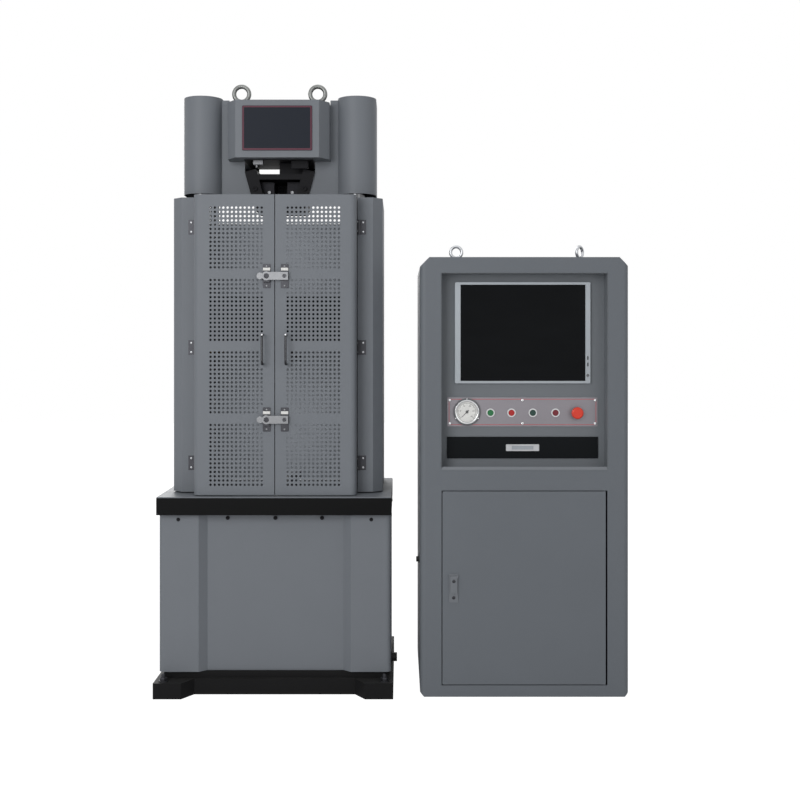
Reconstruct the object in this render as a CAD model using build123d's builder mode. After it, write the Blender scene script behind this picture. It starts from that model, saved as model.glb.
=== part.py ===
from build123d import *
import os
from math import radians, tan

# Universal testing machine: a hydraulic load frame with a guard, and its control cabinet.
# Millimetres. The origin is on the floor under the load axis, +Z up, the front faces -Y.

# Base and lower housing
base_overhang = 9
base_depth = 660
base_thickness = 56
foot_notch = 58
foot_tip_inset = 100
foot_slant = 37
plinth_inset = 16
plinth_depth = 510
plinth_height = 24
cover_width = 832
cover_depth = 540
cover_height = 564
cover_sheet = 2.5
cover_corner = 18
cover_flange = 24
cover_seam = 1
recess_depth = 25
recess_stile = 143
recess_slant = 28

# Table and hydraulic ram
table_gap = 2
table_overhang = 3
table_depth = 600
table_thickness = 61
deck_inset = 1
deck_sheet = 3
ram_diameter = 180
ram_clearance = 0.1
cylinder_wall = 40
cylinder_floor = 30
ram_guide = 320
ram_seat_gap = 0.3
lift_stroke = 200

# Columns, lead screws and their drives
column_inset = 128
column_y = 110
column_diameter = 60
column_cover = 49
fit_clearance = 0.05
screw_diameter = 60
screw_journal = 40
screw_collar = 84
screw_collar_height = 15
screw_clearance = 8
screw_top_reserve = 60
screw_chamfer = 3
gearbox_side = 150
gearbox_height = 130
gearbox_corner = 8
journal_depth = 50
gear_motor_diameter = 110
gear_motor_length = 175

# Upper crosshead, column shrouds and lifting eyes
crosshead_floor = 1938
crosshead_height = 211
crosshead_slant = 35
crosshead_shroud_gap = 28
crosshead_front = 190
crosshead_rear = 100
crosshead_bevel = 49
neck_half = 70
ear_gap = 3
shroud_radius = 72
shroud_centre_y = 75
shroud_sheet = 3
shroud_floor = 1812
shroud_top = 2173
wing_y = -88
seat_gap = 0.3
eye_inset = 11
eye_y = -100
eye_outer = 72
eye_inner = 40
eye_collar_height = 3
eye_collar_diameter = 40

# Wedge grips
grip_angle = 15
grip_depth = 200
grip_yoke_height = 20
grip_drop = 48
grip_horn = 20
grip_seat_height = 115
grip_seat_half = 78
grip_cheek = 45
grip_web = 15
grip_link_left = 4
grip_link_right = 88
jaw_gap_half = 25
jaw_depth = 120
jaw_height = 105
jaw_clearance = 0.4
jaw_set_down = 5

# Middle crosshead and platens
middle_floor = 1240
middle_height = 190
middle_ear = 64
middle_depth = 316
middle_corner = 22
pocket_floor_height = 60
pocket_mouth_half = 65
specimen_slot = 46
crosshead_travel = 200
nut_diameter = 96
nut_flange_diameter = 130
nut_flange_height = 18
nut_bore_clearance = 0.1
platen_diameter = 150
platen_neck_diameter = 96
upper_platen_height = 50
lower_platen_height = 60
platen_disc_height = 28

# Guard
guard_sheet = 2.5
guard_ear = 97
guard_front = 185
guard_rear = 250
guard_bevel = 35
guard_mouth_gap = 2
guard_return = 25
guard_gap = 5
guard_top = 1792
guard_rear_top = 1740
guard_tab = 40
guard_tab_y = (-80, 150)
rear_tab_x = (-250, 250)
door_front = 272
door_reach = 4
door_back = 187
door_corner = 20
door_centre_gap = 3
door_floor_gap = 4
door_lip = 12
hinge_offset = 6
hinge_y = -191
hinge_radius = 5
hinge_pin = 4
hinge_height = 53
hinge_leaf = 2
hinge_leaf_width = 21.5
hinge_middle = 18
hinge_end_gap = 0.2
hinge_z = (821, 1243, 1683)
handle_x = 42
handle_z = 1236
handle_centres = 105
handle_reach = 35
handle_wire = 8
handle_bend = 12

# Latches across the guard doors
latch_z = (985, 1499)
latch_plate_width = 28
latch_plate_height = 86
latch_plate = 3
latch_x = 36
keeper_x = -28.5
latch_bar_height = 28
latch_bar_thickness = 8
latch_bar_gap = 4
latch_boss = 20
latch_pin = 8
latch_tail = 13
latch_eye = 32
latch_knob = 24
latch_knob_x = -51
latch_neck = 14
latch_rest = 5
latch_rest_gap = 0.4

# Cabinet shell
cabinet_gap = 95.5
cabinet_width = 743
cabinet_depth = 600
cabinet_height = 1565
cabinet_front = 301
cabinet_sheet = 3
cabinet_corner = 20
cabinet_top_chamfer = 33
cabinet_foot_chamfer = 14
back_clearance = 0.3
cabinet_eye_x = 232
cabinet_eye_y = -70
cabinet_eye_outer = 54
cabinet_eye_inner = 30
cabinet_eye_collar_height = 8
cabinet_eye_collar_diameter = 30
cabinet_eye_turn = 50

# Instrument recess, monitor and control strip
panel_width = 596
panel_floor = 806
panel_height = 704
panel_depth = 70
panel_sheet = 2
panel_flange = 12
panel_clearance = 0.3
monitor_width = 489
monitor_height = 365
monitor_z = 1296
monitor_bezel = 10
monitor_body_width = 450
monitor_body_height = 330
monitor_body_depth = 55
screen_width = 451
screen_height = 348
screen_shift_x = 1
screen_thickness = 3
screen_recess = 2
strip_width = 544
strip_height = 105
strip_z = 1010
strip_sheet = 3
gauge_x = -201
gauge_flange = 99
gauge_flange_height = 6
gauge_dial = 75
gauge_dial_depth = 4
gauge_case = 82
gauge_case_depth = 40
gauge_pin = 4
needle_length = 29
needle_tail = 9
needle_width = 3
needle_hub = 10
needle_sheet = 1.2
needle_rest_angle = 225
button_z = 1007
button_x = {"start": -116, "stop": -40, "raise": 37, "lower": 119, "emergency": 196}
button_cap = 22
button_chamfer = 1.1
button_stand = 8
button_stem = 17
button_clearance = 0.3
button_ring = 31
button_ring_height = 4
mushroom_diameter = 43
mushroom_height = 12
mushroom_stand = 16

# Keyboard drawer
drawer_front_width = 546
drawer_front_height = 78
drawer_z = 881
drawer_front_sheet = 4
drawer_width = 516
drawer_length = 320
drawer_height = 50
drawer_wall = 2
drawer_opening_gap = 2
runner_width = 12
runner_height = 26
runner_length = 330
runner_gap = 0.4
pull_width = 120
pull_height = 24
pull_sheet = 3
pull_window_width = 78
pull_window_height = 13
keyboard_width = 440
keyboard_length = 140
keyboard_front_height = 14
keyboard_back_height = 24
keyboard_front_gap = 18

# Cabinet door, lock and the hydraulic unit behind it
hatch_width = 590
hatch_floor = 41
hatch_height = 693
hatch_gap = 3
hatch_hinge_gap = 6
hatch_depth = 20
hatch_sheet = 2
pivot_inset = 11
pivot_setback = 9
pivot_pin = 8
pivot_length = 10
pivot_tab = 6
pivot_tab_width = 34
lock_x = -252
lock_z = 387
lock_width = 33
lock_height = 101
lock_plate = 3
lock_lever_width = 24
lock_lever_height = 58
lock_lever_thickness = 6
lock_lever_gap = 0.3
lock_lug = 4
lock_pin = 4
tank_width = 560
tank_depth = 400
tank_height = 280
tank_y = 60
tank_lid = 12
tank_lid_lip = 10
gasket = 0.3
pump_motor_diameter = 170
pump_motor_height = 250
pump_motor_x = -130
valve_width = 150
valve_depth = 110
valve_height = 120
valve_x = 140

# Cable sockets on the sides
frame_socket_diameter = 32
frame_socket_reach = 22
frame_socket_y = -150
frame_socket_z = 102
cabinet_socket_diameter = 20
cabinet_socket_reach = 12
cabinet_socket_y = -150
cabinet_socket_z = 463
socket_flange_extra = 10
socket_flange_height = 3

# Widths, levels and planes worked out from the sizes above
base_width = cover_width + 2 * base_overhang
foot_tip_half = base_width / 2 - foot_tip_inset
foot_root_half = foot_tip_half - foot_slant
plinth_width = cover_width - 2 * plinth_inset
recess_edge_half = cover_width / 2 - recess_stile
recess_flat_half = recess_edge_half - recess_slant
table_width = cover_width + 2 * table_overhang
column_x = cover_width / 2 - column_inset
crosshead_half = column_x - shroud_radius - crosshead_shroud_gap
crosshead_face_half = crosshead_half - crosshead_slant
eye_x = crosshead_face_half - eye_inset
middle_width = 2 * (column_x + middle_ear)
guard_half = column_x + guard_ear
door_half = column_x + door_reach
guard_inner_half = door_half + guard_mouth_gap
hinge_x = door_half + hinge_offset
cabinet_x = base_width / 2 + cabinet_gap + cabinet_width / 2
plinth_top = base_thickness + plinth_height
cover_top = plinth_top + cover_height
table_floor = cover_top + table_gap
cylinder_height = lift_stroke + ram_guide
table_top = table_floor + table_thickness
deck = table_top + deck_sheet
column_top = crosshead_floor + crosshead_height - column_cover
crosshead_top = crosshead_floor + crosshead_height
grip_top = crosshead_floor - grip_drop
grip_seat_top = grip_top - grip_yoke_height
grip_floor = grip_seat_top - grip_seat_height
grip_slope = tan(radians(grip_angle))
horn_top = grip_top + grip_horn
horn_shoulder = horn_top - grip_cheek * grip_slope / (1 + grip_slope**2)
middle_top = middle_floor + middle_height
pocket_floor = middle_floor + pocket_floor_height
pocket_floor_half = pocket_mouth_half + (middle_top - pocket_floor) * grip_slope
screw_foot = plinth_top + gearbox_height - journal_depth
screw_top = middle_top + crosshead_travel + screw_top_reserve
gearbox_top = plinth_top + gearbox_height
guard_floor = deck + guard_gap
door_floor = deck + door_floor_gap
plate_front = door_front + latch_plate
bar_back = plate_front + latch_bar_gap
panel_back = cabinet_front - panel_depth
strip_front = panel_back + strip_sheet
gauge_front = strip_front + gauge_flange_height
drawer_floor = drawer_z - drawer_height / 2
cabinet_back = cabinet_depth - cabinet_front
hatch_left = cabinet_x - hatch_width / 2
hatch_right = cabinet_x + hatch_width / 2
hatch_top = hatch_floor + hatch_height
pivot_x = hatch_right - pivot_inset
pivot_y = -cabinet_front + pivot_setback
lock_front = cabinet_front + lock_plate

up = (Align.CENTER, Align.CENTER, Align.MIN)


# A flat sheet bent along a line of points, seen in plan, and stood up from a floor height
def bent_sheet(points, sheet, floor, height):
    with BuildPart() as wall:
        with BuildSketch(Plane.XY.offset(floor)):
            with BuildLine():
                Polyline(*points)
                offset(amount=sheet, side=Side.LEFT)
            make_face()
        extrude(amount=height)
    return wall.part


# A lifting eye standing on a collar, with its ring turned about the vertical
def lifting_eye(x, y, floor, outer, inner, collar_height, collar_diameter, turn):
    wire = (outer - inner) / 4
    with BuildPart() as eye:
        with Locations((x, y, floor)):
            Cylinder(collar_diameter / 2, collar_height + wire, align=up)
        with Locations(Location((x, y, floor + collar_height + outer / 2), (90, turn, 0))):
            Torus(outer / 2 - wire, wire)
    return eye.part


# Base: a plate with a foot at each corner, and the plinth welded on it
with BuildPart() as base_plate:
    with BuildSketch():
        with BuildLine():
            front = -base_depth / 2
            Polyline(
                (-base_width / 2, 0),
                (-base_width / 2, front),
                (-foot_tip_half, front),
                (-foot_root_half, front + foot_notch),
                (foot_root_half, front + foot_notch),
                (foot_tip_half, front),
                (base_width / 2, front),
                (base_width / 2, 0),
                close=True,
            )
        make_face()
        mirror(about=Plane.XZ)
    extrude(amount=base_thickness)
    with Locations((0, 0, base_thickness)):
        Box(plinth_width, plinth_depth, plinth_height, align=up)


# Lower housing: two bent covers that meet at a seam half way along each side
with BuildSketch() as front_outline:
    with BuildLine():
        cover_front = -cover_depth / 2
        Polyline(
            (-cover_width / 2, -cover_front),
            (-cover_width / 2, cover_front),
            (-recess_edge_half, cover_front),
            (-recess_flat_half, cover_front + recess_depth),
            (recess_flat_half, cover_front + recess_depth),
            (recess_edge_half, cover_front),
            (cover_width / 2, cover_front),
            (cover_width / 2, -cover_front),
            close=True,
        )
    make_face()
    fillet(front_outline.vertices().sort_by(SortBy.DISTANCE)[-4:], radius=cover_corner)

with BuildSketch() as rear_outline:
    RectangleRounded(cover_width, cover_depth, cover_corner)


def housing_shell(outline):
    with BuildPart() as shell:
        for width, height in ((cover_sheet, cover_height), (cover_sheet + cover_flange, cover_sheet)):
            with BuildSketch(Plane.XY.offset(plinth_top)):
                ring = add(outline)
                offset(ring, amount=-width, kind=Kind.INTERSECTION, mode=Mode.SUBTRACT)
            extrude(amount=height)
    return shell.part


with BuildPart() as front_cover:
    add(housing_shell(front_outline.sketch))
    split(bisect_by=Plane.XZ.offset(cover_seam / 2), keep=Keep.TOP)

with BuildPart() as rear_cover:
    add(housing_shell(rear_outline.sketch))
    split(bisect_by=Plane.XZ.offset(-cover_seam / 2), keep=Keep.BOTTOM)

# Hydraulic cylinder on the plinth, and the ram that lifts the table
cylinder_bore = ram_diameter / 2 + ram_clearance
with BuildPart() as main_cylinder:
    with BuildSketch(Plane.XZ):
        with BuildLine():
            outer = cylinder_bore + cylinder_wall
            Polyline(
                (0, plinth_top),
                (outer + cylinder_wall / 2, plinth_top),
                (outer + cylinder_wall / 2, plinth_top + cylinder_floor),
                (outer, plinth_top + cylinder_floor),
                (outer, plinth_top + cylinder_height),
                (cylinder_bore, plinth_top + cylinder_height),
                (cylinder_bore, plinth_top + cylinder_floor),
                (0, plinth_top + cylinder_floor),
                close=True,
            )
        make_face()
    revolve(axis=Axis.Z)

with BuildPart() as piston:
    with Locations((0, 0, plinth_top + cylinder_floor + ram_seat_gap)):
        Cylinder(
            ram_diameter / 2,
            table_floor - plinth_top - cylinder_floor - ram_seat_gap,
            align=up,
        )

# Gear motors on the plinth, each turning one lead screw
with BuildPart() as screw_drives:
    with Locations((-column_x, 0, plinth_top), (column_x, 0, plinth_top)):
        Box(gearbox_side, gearbox_side, gearbox_height, align=up)
    fillet(screw_drives.edges().filter_by(Axis.Z), radius=gearbox_corner)
    with Locations((-column_x, 0, gearbox_top), (column_x, 0, gearbox_top)):
        Hole(screw_journal / 2 + fit_clearance, depth=journal_depth)
    motor_plane = Plane.XZ.offset(-gearbox_side / 2)
    with BuildSketch(motor_plane):
        with Locations(
            (-column_x, plinth_top + gearbox_height / 2),
            (column_x, plinth_top + gearbox_height / 2),
        ):
            Circle(gear_motor_diameter / 2)
    extrude(amount=-gear_motor_length)


def lead_screw(x):
    with BuildPart() as screw:
        with Locations((x, 0, screw_foot + ram_seat_gap)):
            Cylinder(screw_journal / 2, journal_depth, align=up)
        with Locations((x, 0, gearbox_top + ram_seat_gap)):
            Cylinder(screw_collar / 2, screw_collar_height, align=up)
            Cylinder(screw_diameter / 2, screw_top - gearbox_top - ram_seat_gap, align=up)
        chamfer(screw.faces().sort_by(Axis.Z)[-1].edges(), length=screw_chamfer)
    return screw


lead_screw_left = lead_screw(-column_x)
lead_screw_right = lead_screw(column_x)

# Table: a thick slab with a thin top sheet, bored for the columns and the lead screws
screw_passage = screw_diameter / 2 + screw_clearance
screw_spots = [(-column_x, 0), (column_x, 0)]
column_spots = [(x, y) for x in (-column_x, column_x) for y in (-column_y, column_y)]


def table_layer(floor, thickness, inset):
    with BuildPart() as layer:
        with BuildSketch(Plane.XY.offset(floor)):
            Rectangle(table_width - 2 * inset, table_depth - 2 * inset)
            with Locations(*screw_spots):
                Circle(screw_passage, mode=Mode.SUBTRACT)
            with Locations(*column_spots):
                Circle(column_diameter / 2 + fit_clearance, mode=Mode.SUBTRACT)
        extrude(amount=thickness)
    return layer


table = table_layer(table_floor, table_thickness, 0)
table_sheet = table_layer(table_top, deck_sheet, deck_inset)

with BuildPart() as columns:
    with BuildSketch(Plane.XY.offset(table_floor)):
        with Locations(*column_spots):
            Circle(column_diameter / 2)
    extrude(amount=column_top - table_floor)

# Upper crosshead: a bevelled block, with an ear on each side that takes two columns
with BuildPart() as upper_crosshead:
    with BuildSketch(Plane.XY.offset(crosshead_floor)):
        with BuildLine():
            Polyline(
                (-crosshead_face_half, -crosshead_front),
                (crosshead_face_half, -crosshead_front),
                (crosshead_half, -crosshead_front + crosshead_bevel),
                (crosshead_half, crosshead_rear),
                (-crosshead_half, crosshead_rear),
                (-crosshead_half, -crosshead_front + crosshead_bevel),
                close=True,
            )
        make_face()
        Rectangle(2 * column_x, 2 * neck_half)
        ear_radius = shroud_radius - shroud_sheet - ear_gap
        with Locations((-column_x, 0), (column_x, 0)):
            SlotCenterToCenter(2 * shroud_centre_y, 2 * ear_radius, rotation=90)
    extrude(amount=crosshead_height)
    with BuildSketch(Plane.XY.offset(crosshead_floor)):
        with Locations(*column_spots):
            Circle(column_diameter / 2 + fit_clearance)
    extrude(amount=crosshead_height - column_cover + fit_clearance, mode=Mode.SUBTRACT)

# How far from the middle the inner face of a grip cheek is at a level
def cheek_reach(level):
    return grip_seat_half + grip_slope * (level - grip_seat_top)


# Column shrouds: round-ended caps over the column tops, each with a wing up to the crosshead and the grip
with BuildPart() as column_shrouds:
    with BuildSketch(Plane.XY.offset(shroud_floor)):
        with Locations((-column_x, 0), (column_x, 0)):
            SlotCenterToCenter(2 * shroud_centre_y, 2 * shroud_radius, rotation=90)
    extrude(amount=shroud_top - shroud_floor)
    wing_edge = cheek_reach(horn_shoulder) + grip_cheek + seat_gap
    with BuildSketch(Plane.XZ.offset(-wing_y)):
        with BuildLine():
            Polyline(
                (column_x, shroud_floor),
                (cheek_reach(shroud_floor) + grip_cheek + seat_gap, shroud_floor),
                (wing_edge, horn_shoulder),
                (wing_edge, crosshead_floor - seat_gap),
                (crosshead_half + seat_gap, crosshead_floor - seat_gap),
                (crosshead_half + seat_gap, crosshead_top),
                (column_x, crosshead_top),
                close=True,
            )
        make_face()
        mirror(about=Plane.YZ)
    extrude(amount=shroud_sheet)
    with BuildSketch(Plane.XY.offset(shroud_floor)):
        with Locations((-column_x, 0), (column_x, 0)):
            SlotCenterToCenter(2 * shroud_centre_y, 2 * (shroud_radius - shroud_sheet), rotation=90)
    extrude(amount=shroud_top - shroud_floor - shroud_sheet, mode=Mode.SUBTRACT)
    with Locations((0, 0, crosshead_floor - seat_gap)):
        Box(
            2 * column_x,
            2 * (neck_half + seat_gap),
            crosshead_height + 2 * seat_gap,
            align=up,
            mode=Mode.SUBTRACT,
        )

with BuildPart() as lifting_eyes:
    for x in (-eye_x, eye_x):
        add(
            lifting_eye(
                x, eye_y, crosshead_top, eye_outer, eye_inner, eye_collar_height, eye_collar_diameter, 0
            )
        )

# Upper grip: a yoke hung from the crosshead, closed at the back, with two leaning cheeks that seat the jaws
with BuildPart() as upper_grip:
    with BuildSketch(Plane.XZ):
        with BuildLine():
            Polyline(
                (0, grip_seat_top),
                (grip_seat_half, grip_seat_top),
                (cheek_reach(grip_floor), grip_floor),
                (cheek_reach(grip_floor) + grip_cheek, grip_floor),
                (cheek_reach(horn_shoulder) + grip_cheek, horn_shoulder),
                (cheek_reach(horn_top), horn_top),
                (cheek_reach(grip_top), grip_top),
                (0, grip_top),
                close=True,
            )
        make_face()
        mirror(about=Plane.YZ)
    extrude(amount=grip_depth / 2, both=True)
    with BuildSketch(Plane.XZ.offset(-grip_depth / 2)):
        with BuildLine():
            Polyline(
                (-grip_seat_half, grip_seat_top),
                (grip_seat_half, grip_seat_top),
                (cheek_reach(grip_floor), grip_floor),
                (-cheek_reach(grip_floor), grip_floor),
                close=True,
            )
        make_face()
    extrude(amount=grip_web)
    with Locations(((grip_link_right - grip_link_left) / 2, 0, grip_top)):
        Box(grip_link_right + grip_link_left, grip_depth * 2 / 3, grip_drop, align=up)


# Wedge jaw, given by its top and bottom levels and the outer face's reach at each
def wedge_jaw(side, floor, floor_reach, top, top_reach):
    with BuildPart() as jaw:
        with BuildSketch(Plane.XZ):
            with BuildLine():
                Polyline(
                    (side * jaw_gap_half, floor),
                    (side * floor_reach, floor),
                    (side * top_reach, top),
                    (side * jaw_gap_half, top),
                    close=True,
                )
            make_face()
        extrude(amount=jaw_depth / 2, both=True)
    return jaw


upper_jaw_top = grip_seat_top - jaw_set_down
upper_jaw_floor = upper_jaw_top - jaw_height
upper_jaw_top_reach = grip_seat_half - jaw_clearance - grip_slope * jaw_set_down
upper_jaw_floor_reach = upper_jaw_top_reach - grip_slope * jaw_height
upper_jaw_left = wedge_jaw(-1, upper_jaw_floor, upper_jaw_floor_reach, upper_jaw_top, upper_jaw_top_reach)
upper_jaw_right = wedge_jaw(1, upper_jaw_floor, upper_jaw_floor_reach, upper_jaw_top, upper_jaw_top_reach)

# Middle crosshead: a block with column and nut bores, and a wedge pocket open at the top and front
with BuildPart() as middle_crosshead:
    with BuildSketch(Plane.XY.offset(middle_floor)):
        RectangleRounded(middle_width, middle_depth, middle_corner)
        with Locations(*column_spots):
            Circle(column_diameter / 2 + fit_clearance, mode=Mode.SUBTRACT)
        with Locations(*screw_spots):
            Circle(nut_diameter / 2 + fit_clearance, mode=Mode.SUBTRACT)
    extrude(amount=middle_height)
    with BuildSketch(Plane.XZ):
        with BuildLine():
            Polyline(
                (-pocket_floor_half, pocket_floor),
                (pocket_floor_half, pocket_floor),
                (pocket_mouth_half, middle_top),
                (-pocket_mouth_half, middle_top),
                close=True,
            )
        make_face()
    extrude(amount=jaw_depth / 2 + jaw_clearance, both=True, mode=Mode.SUBTRACT)
    with Locations((0, -middle_depth / 2, pocket_floor)):
        Box(specimen_slot, middle_depth, middle_top - pocket_floor, align=up, mode=Mode.SUBTRACT)

lower_jaw_floor = pocket_floor + ram_seat_gap
lower_jaw_top = lower_jaw_floor + jaw_height
lower_jaw_floor_reach = pocket_floor_half - jaw_clearance - grip_slope * ram_seat_gap
lower_jaw_top_reach = lower_jaw_floor_reach - grip_slope * jaw_height
lower_jaw_left = wedge_jaw(-1, lower_jaw_floor, lower_jaw_floor_reach, lower_jaw_top, lower_jaw_top_reach)
lower_jaw_right = wedge_jaw(1, lower_jaw_floor, lower_jaw_floor_reach, lower_jaw_top, lower_jaw_top_reach)

with BuildPart() as screw_nuts:
    with BuildSketch(Plane.XY.offset(middle_floor - nut_flange_height)):
        with Locations(*screw_spots):
            Circle(nut_flange_diameter / 2)
    extrude(amount=nut_flange_height)
    with BuildSketch(Plane.XY.offset(middle_floor)):
        with Locations(*screw_spots):
            Circle(nut_diameter / 2)
    extrude(amount=middle_height)
    with BuildSketch(Plane.XY.offset(middle_floor - nut_flange_height)):
        with Locations(*screw_spots):
            Circle(screw_diameter / 2 + nut_bore_clearance)
    extrude(amount=nut_flange_height + middle_height, mode=Mode.SUBTRACT)


# Compression platen: a disc on a narrower neck, standing up or hanging down from its seat
def platen(seat, height, direction):
    with BuildPart() as seat_disc:
        with BuildSketch(Plane.XZ):
            with BuildLine():
                Polyline(
                    (0, seat),
                    (platen_neck_diameter / 2, seat),
                    (platen_neck_diameter / 2, seat + direction * (height - platen_disc_height)),
                    (platen_diameter / 2, seat + direction * (height - platen_disc_height)),
                    (platen_diameter / 2, seat + direction * height),
                    (0, seat + direction * height),
                    close=True,
                )
            make_face()
        revolve(axis=Axis.Z)
    return seat_disc


upper_platen = platen(middle_floor, upper_platen_height, -1)
lower_platen = platen(deck, lower_platen_height, 1)

# Guard panels: bent side sheets and a flat rear sheet, standing on tabs
side_path = [
    (guard_inner_half, -guard_front + guard_return),
    (guard_inner_half, -guard_front),
    (guard_half - guard_bevel, -guard_front),
    (guard_half, -guard_front + guard_bevel),
    (guard_half, guard_rear - guard_sheet),
]
with BuildPart() as guard_side_panels:
    add(bent_sheet(side_path, guard_sheet, guard_floor, guard_top - guard_floor))
    with Locations(*[(guard_half - guard_sheet / 2, y, deck) for y in guard_tab_y]):
        Box(guard_sheet, guard_tab, guard_gap, align=up)
    mirror(about=Plane.YZ)

with BuildPart() as guard_rear_panel:
    with Locations((0, guard_rear - guard_sheet / 2, guard_floor)):
        Box(2 * guard_half, guard_sheet, guard_rear_top - guard_floor, align=up)
    with Locations(*[(x, guard_rear - guard_sheet / 2, deck) for x in rear_tab_x]):
        Box(guard_tab, guard_sheet, guard_gap, align=up)

# Guard doors: a front sheet with a rounded outer edge, a deep return and a lip at the centre
with BuildPart() as guard_door_right:
    with BuildSketch(Plane.XY.offset(door_floor)) as door_section:
        door_edge = door_centre_gap / 2
        door_inside = door_front - guard_sheet
        with BuildLine():
            Polyline(
                (door_half, -door_back),
                (door_half, -door_front),
                (door_edge, -door_front),
                (door_edge, -door_front + door_lip),
                (door_edge + guard_sheet, -door_front + door_lip),
                (door_edge + guard_sheet, -door_inside),
                (door_half - guard_sheet, -door_inside),
                (door_half - guard_sheet, -door_back),
                close=True,
            )
        make_face()
        inner_bend = door_section.vertices().sort_by_distance((door_half - guard_sheet, -door_inside, 0))[0]
        fillet(inner_bend, radius=door_corner - guard_sheet)
        outer_bend = door_section.vertices().sort_by_distance((door_half, -door_front, 0))[0]
        fillet(outer_bend, radius=door_corner)
    extrude(amount=guard_top - door_floor)

with BuildPart() as guard_door_left:
    mirror(guard_door_right.part, about=Plane.YZ)

# Hinges: fixed leaves with two end knuckles and a pin, and door leaves with the middle knuckle
knuckle_end = hinge_middle / 2 + hinge_end_gap
end_length = hinge_height / 2 - knuckle_end
leaf_start = hinge_x + hinge_radius + hinge_end_gap * 2
with BuildPart() as guard_hinges:
    for z in hinge_z:
        leaf_y = -guard_front - hinge_leaf / 2
        with Locations((leaf_start + hinge_leaf_width / 2, leaf_y, z)):
            Box(hinge_leaf_width, hinge_leaf, hinge_height)
        for end in (-1, 1):
            knuckle_z = z + end * (knuckle_end + end_length / 2)
            with Locations((hinge_x, hinge_y, knuckle_z)):
                Cylinder(hinge_radius, end_length)
            with Locations(((hinge_x + leaf_start) / 2, leaf_y, knuckle_z)):
                Box(leaf_start - hinge_x, hinge_leaf, end_length)
        with Locations((hinge_x, hinge_y, z)):
            Cylinder(hinge_pin / 2, hinge_height)
    mirror(about=Plane.YZ)

with BuildPart() as right_door_hinges:
    leaf_x = door_half + hinge_leaf / 2
    leaf_front = hinge_y - hinge_radius - hinge_end_gap * 2
    for z in hinge_z:
        with Locations((leaf_x, leaf_front - hinge_leaf_width / 2, z)):
            Box(hinge_leaf, hinge_leaf_width, hinge_height)
        with Locations((leaf_x, (leaf_front + hinge_y) / 2, z)):
            Box(hinge_leaf, hinge_y - leaf_front, hinge_middle)
        with Locations((hinge_x, hinge_y, z)):
            Cylinder(hinge_radius, hinge_middle)
            Cylinder(hinge_pin / 2 + fit_clearance, hinge_middle, mode=Mode.SUBTRACT)

with BuildPart() as left_door_hinges:
    mirror(right_door_hinges.part, about=Plane.YZ)


# Bow handle bent from round wire, standing on a door
def door_handle(x):
    with BuildPart() as handle:
        with BuildLine() as wire:
            FilletPolyline(
                (x, -door_front, handle_z - handle_centres / 2),
                (x, -door_front - handle_reach, handle_z - handle_centres / 2),
                (x, -door_front - handle_reach, handle_z + handle_centres / 2),
                (x, -door_front, handle_z + handle_centres / 2),
                radius=handle_bend,
            )
        with BuildSketch(Plane(origin=wire.line @ 0, z_dir=wire.line % 0)):
            Circle(handle_wire / 2)
        sweep(path=wire.line)
    return handle


left_door_handle = door_handle(-handle_x)
right_door_handle = door_handle(handle_x)

# Latch plates: a keeper with a rest on the left door, a base with a pivot boss on the right door
with BuildPart() as latch_keepers:
    for z in latch_z:
        with BuildSketch(Plane.XZ.offset(door_front)):
            with Locations((keeper_x, z)):
                RectangleRounded(latch_plate_width, latch_plate_height, latch_plate)
        extrude(amount=latch_plate)
        rest_top = z - latch_eye / 2 - latch_rest_gap
        with BuildSketch(Plane.XZ.offset(plate_front)):
            with Locations((keeper_x, rest_top - latch_rest / 2)):
                Rectangle(latch_plate_width - latch_rest, latch_rest)
        extrude(amount=latch_bar_gap + latch_bar_thickness)

with BuildPart() as latch_bases:
    for z in latch_z:
        with BuildSketch(Plane.XZ.offset(door_front)):
            with Locations((latch_x, z)):
                RectangleRounded(latch_plate_width, latch_plate_height, latch_plate)
        extrude(amount=latch_plate)
        with BuildSketch(Plane.XZ.offset(plate_front)):
            with Locations((latch_x, z)):
                Circle(latch_boss / 2)
        extrude(amount=latch_bar_gap - latch_rest_gap)
        with BuildSketch(Plane.XZ.offset(plate_front)):
            with Locations((latch_x, z)):
                Circle(latch_pin / 2)
        extrude(amount=latch_bar_gap + latch_bar_thickness)


# Latch bar: a flat bar from its pivot to a round eye, a neck and a knob
def latch_bar(z):
    with BuildPart() as bar:
        with BuildSketch(Plane.XZ.offset(bar_back)):
            with Locations(((latch_x + latch_tail + keeper_x) / 2, z)):
                Rectangle(latch_x + latch_tail - keeper_x, latch_bar_height)
            with Locations((keeper_x, z)):
                Circle(latch_eye / 2)
            with Locations(((keeper_x + latch_knob_x) / 2, z)):
                Rectangle(keeper_x - latch_knob_x, latch_neck)
            with Locations((latch_knob_x, z)):
                Circle(latch_knob / 2)
            with Locations((latch_x, z)):
                Circle(latch_pin / 2 + fit_clearance, mode=Mode.SUBTRACT)
        extrude(amount=latch_bar_thickness)
    return bar


lower_latch_bar = latch_bar(latch_z[0])
upper_latch_bar = latch_bar(latch_z[1])


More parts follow.
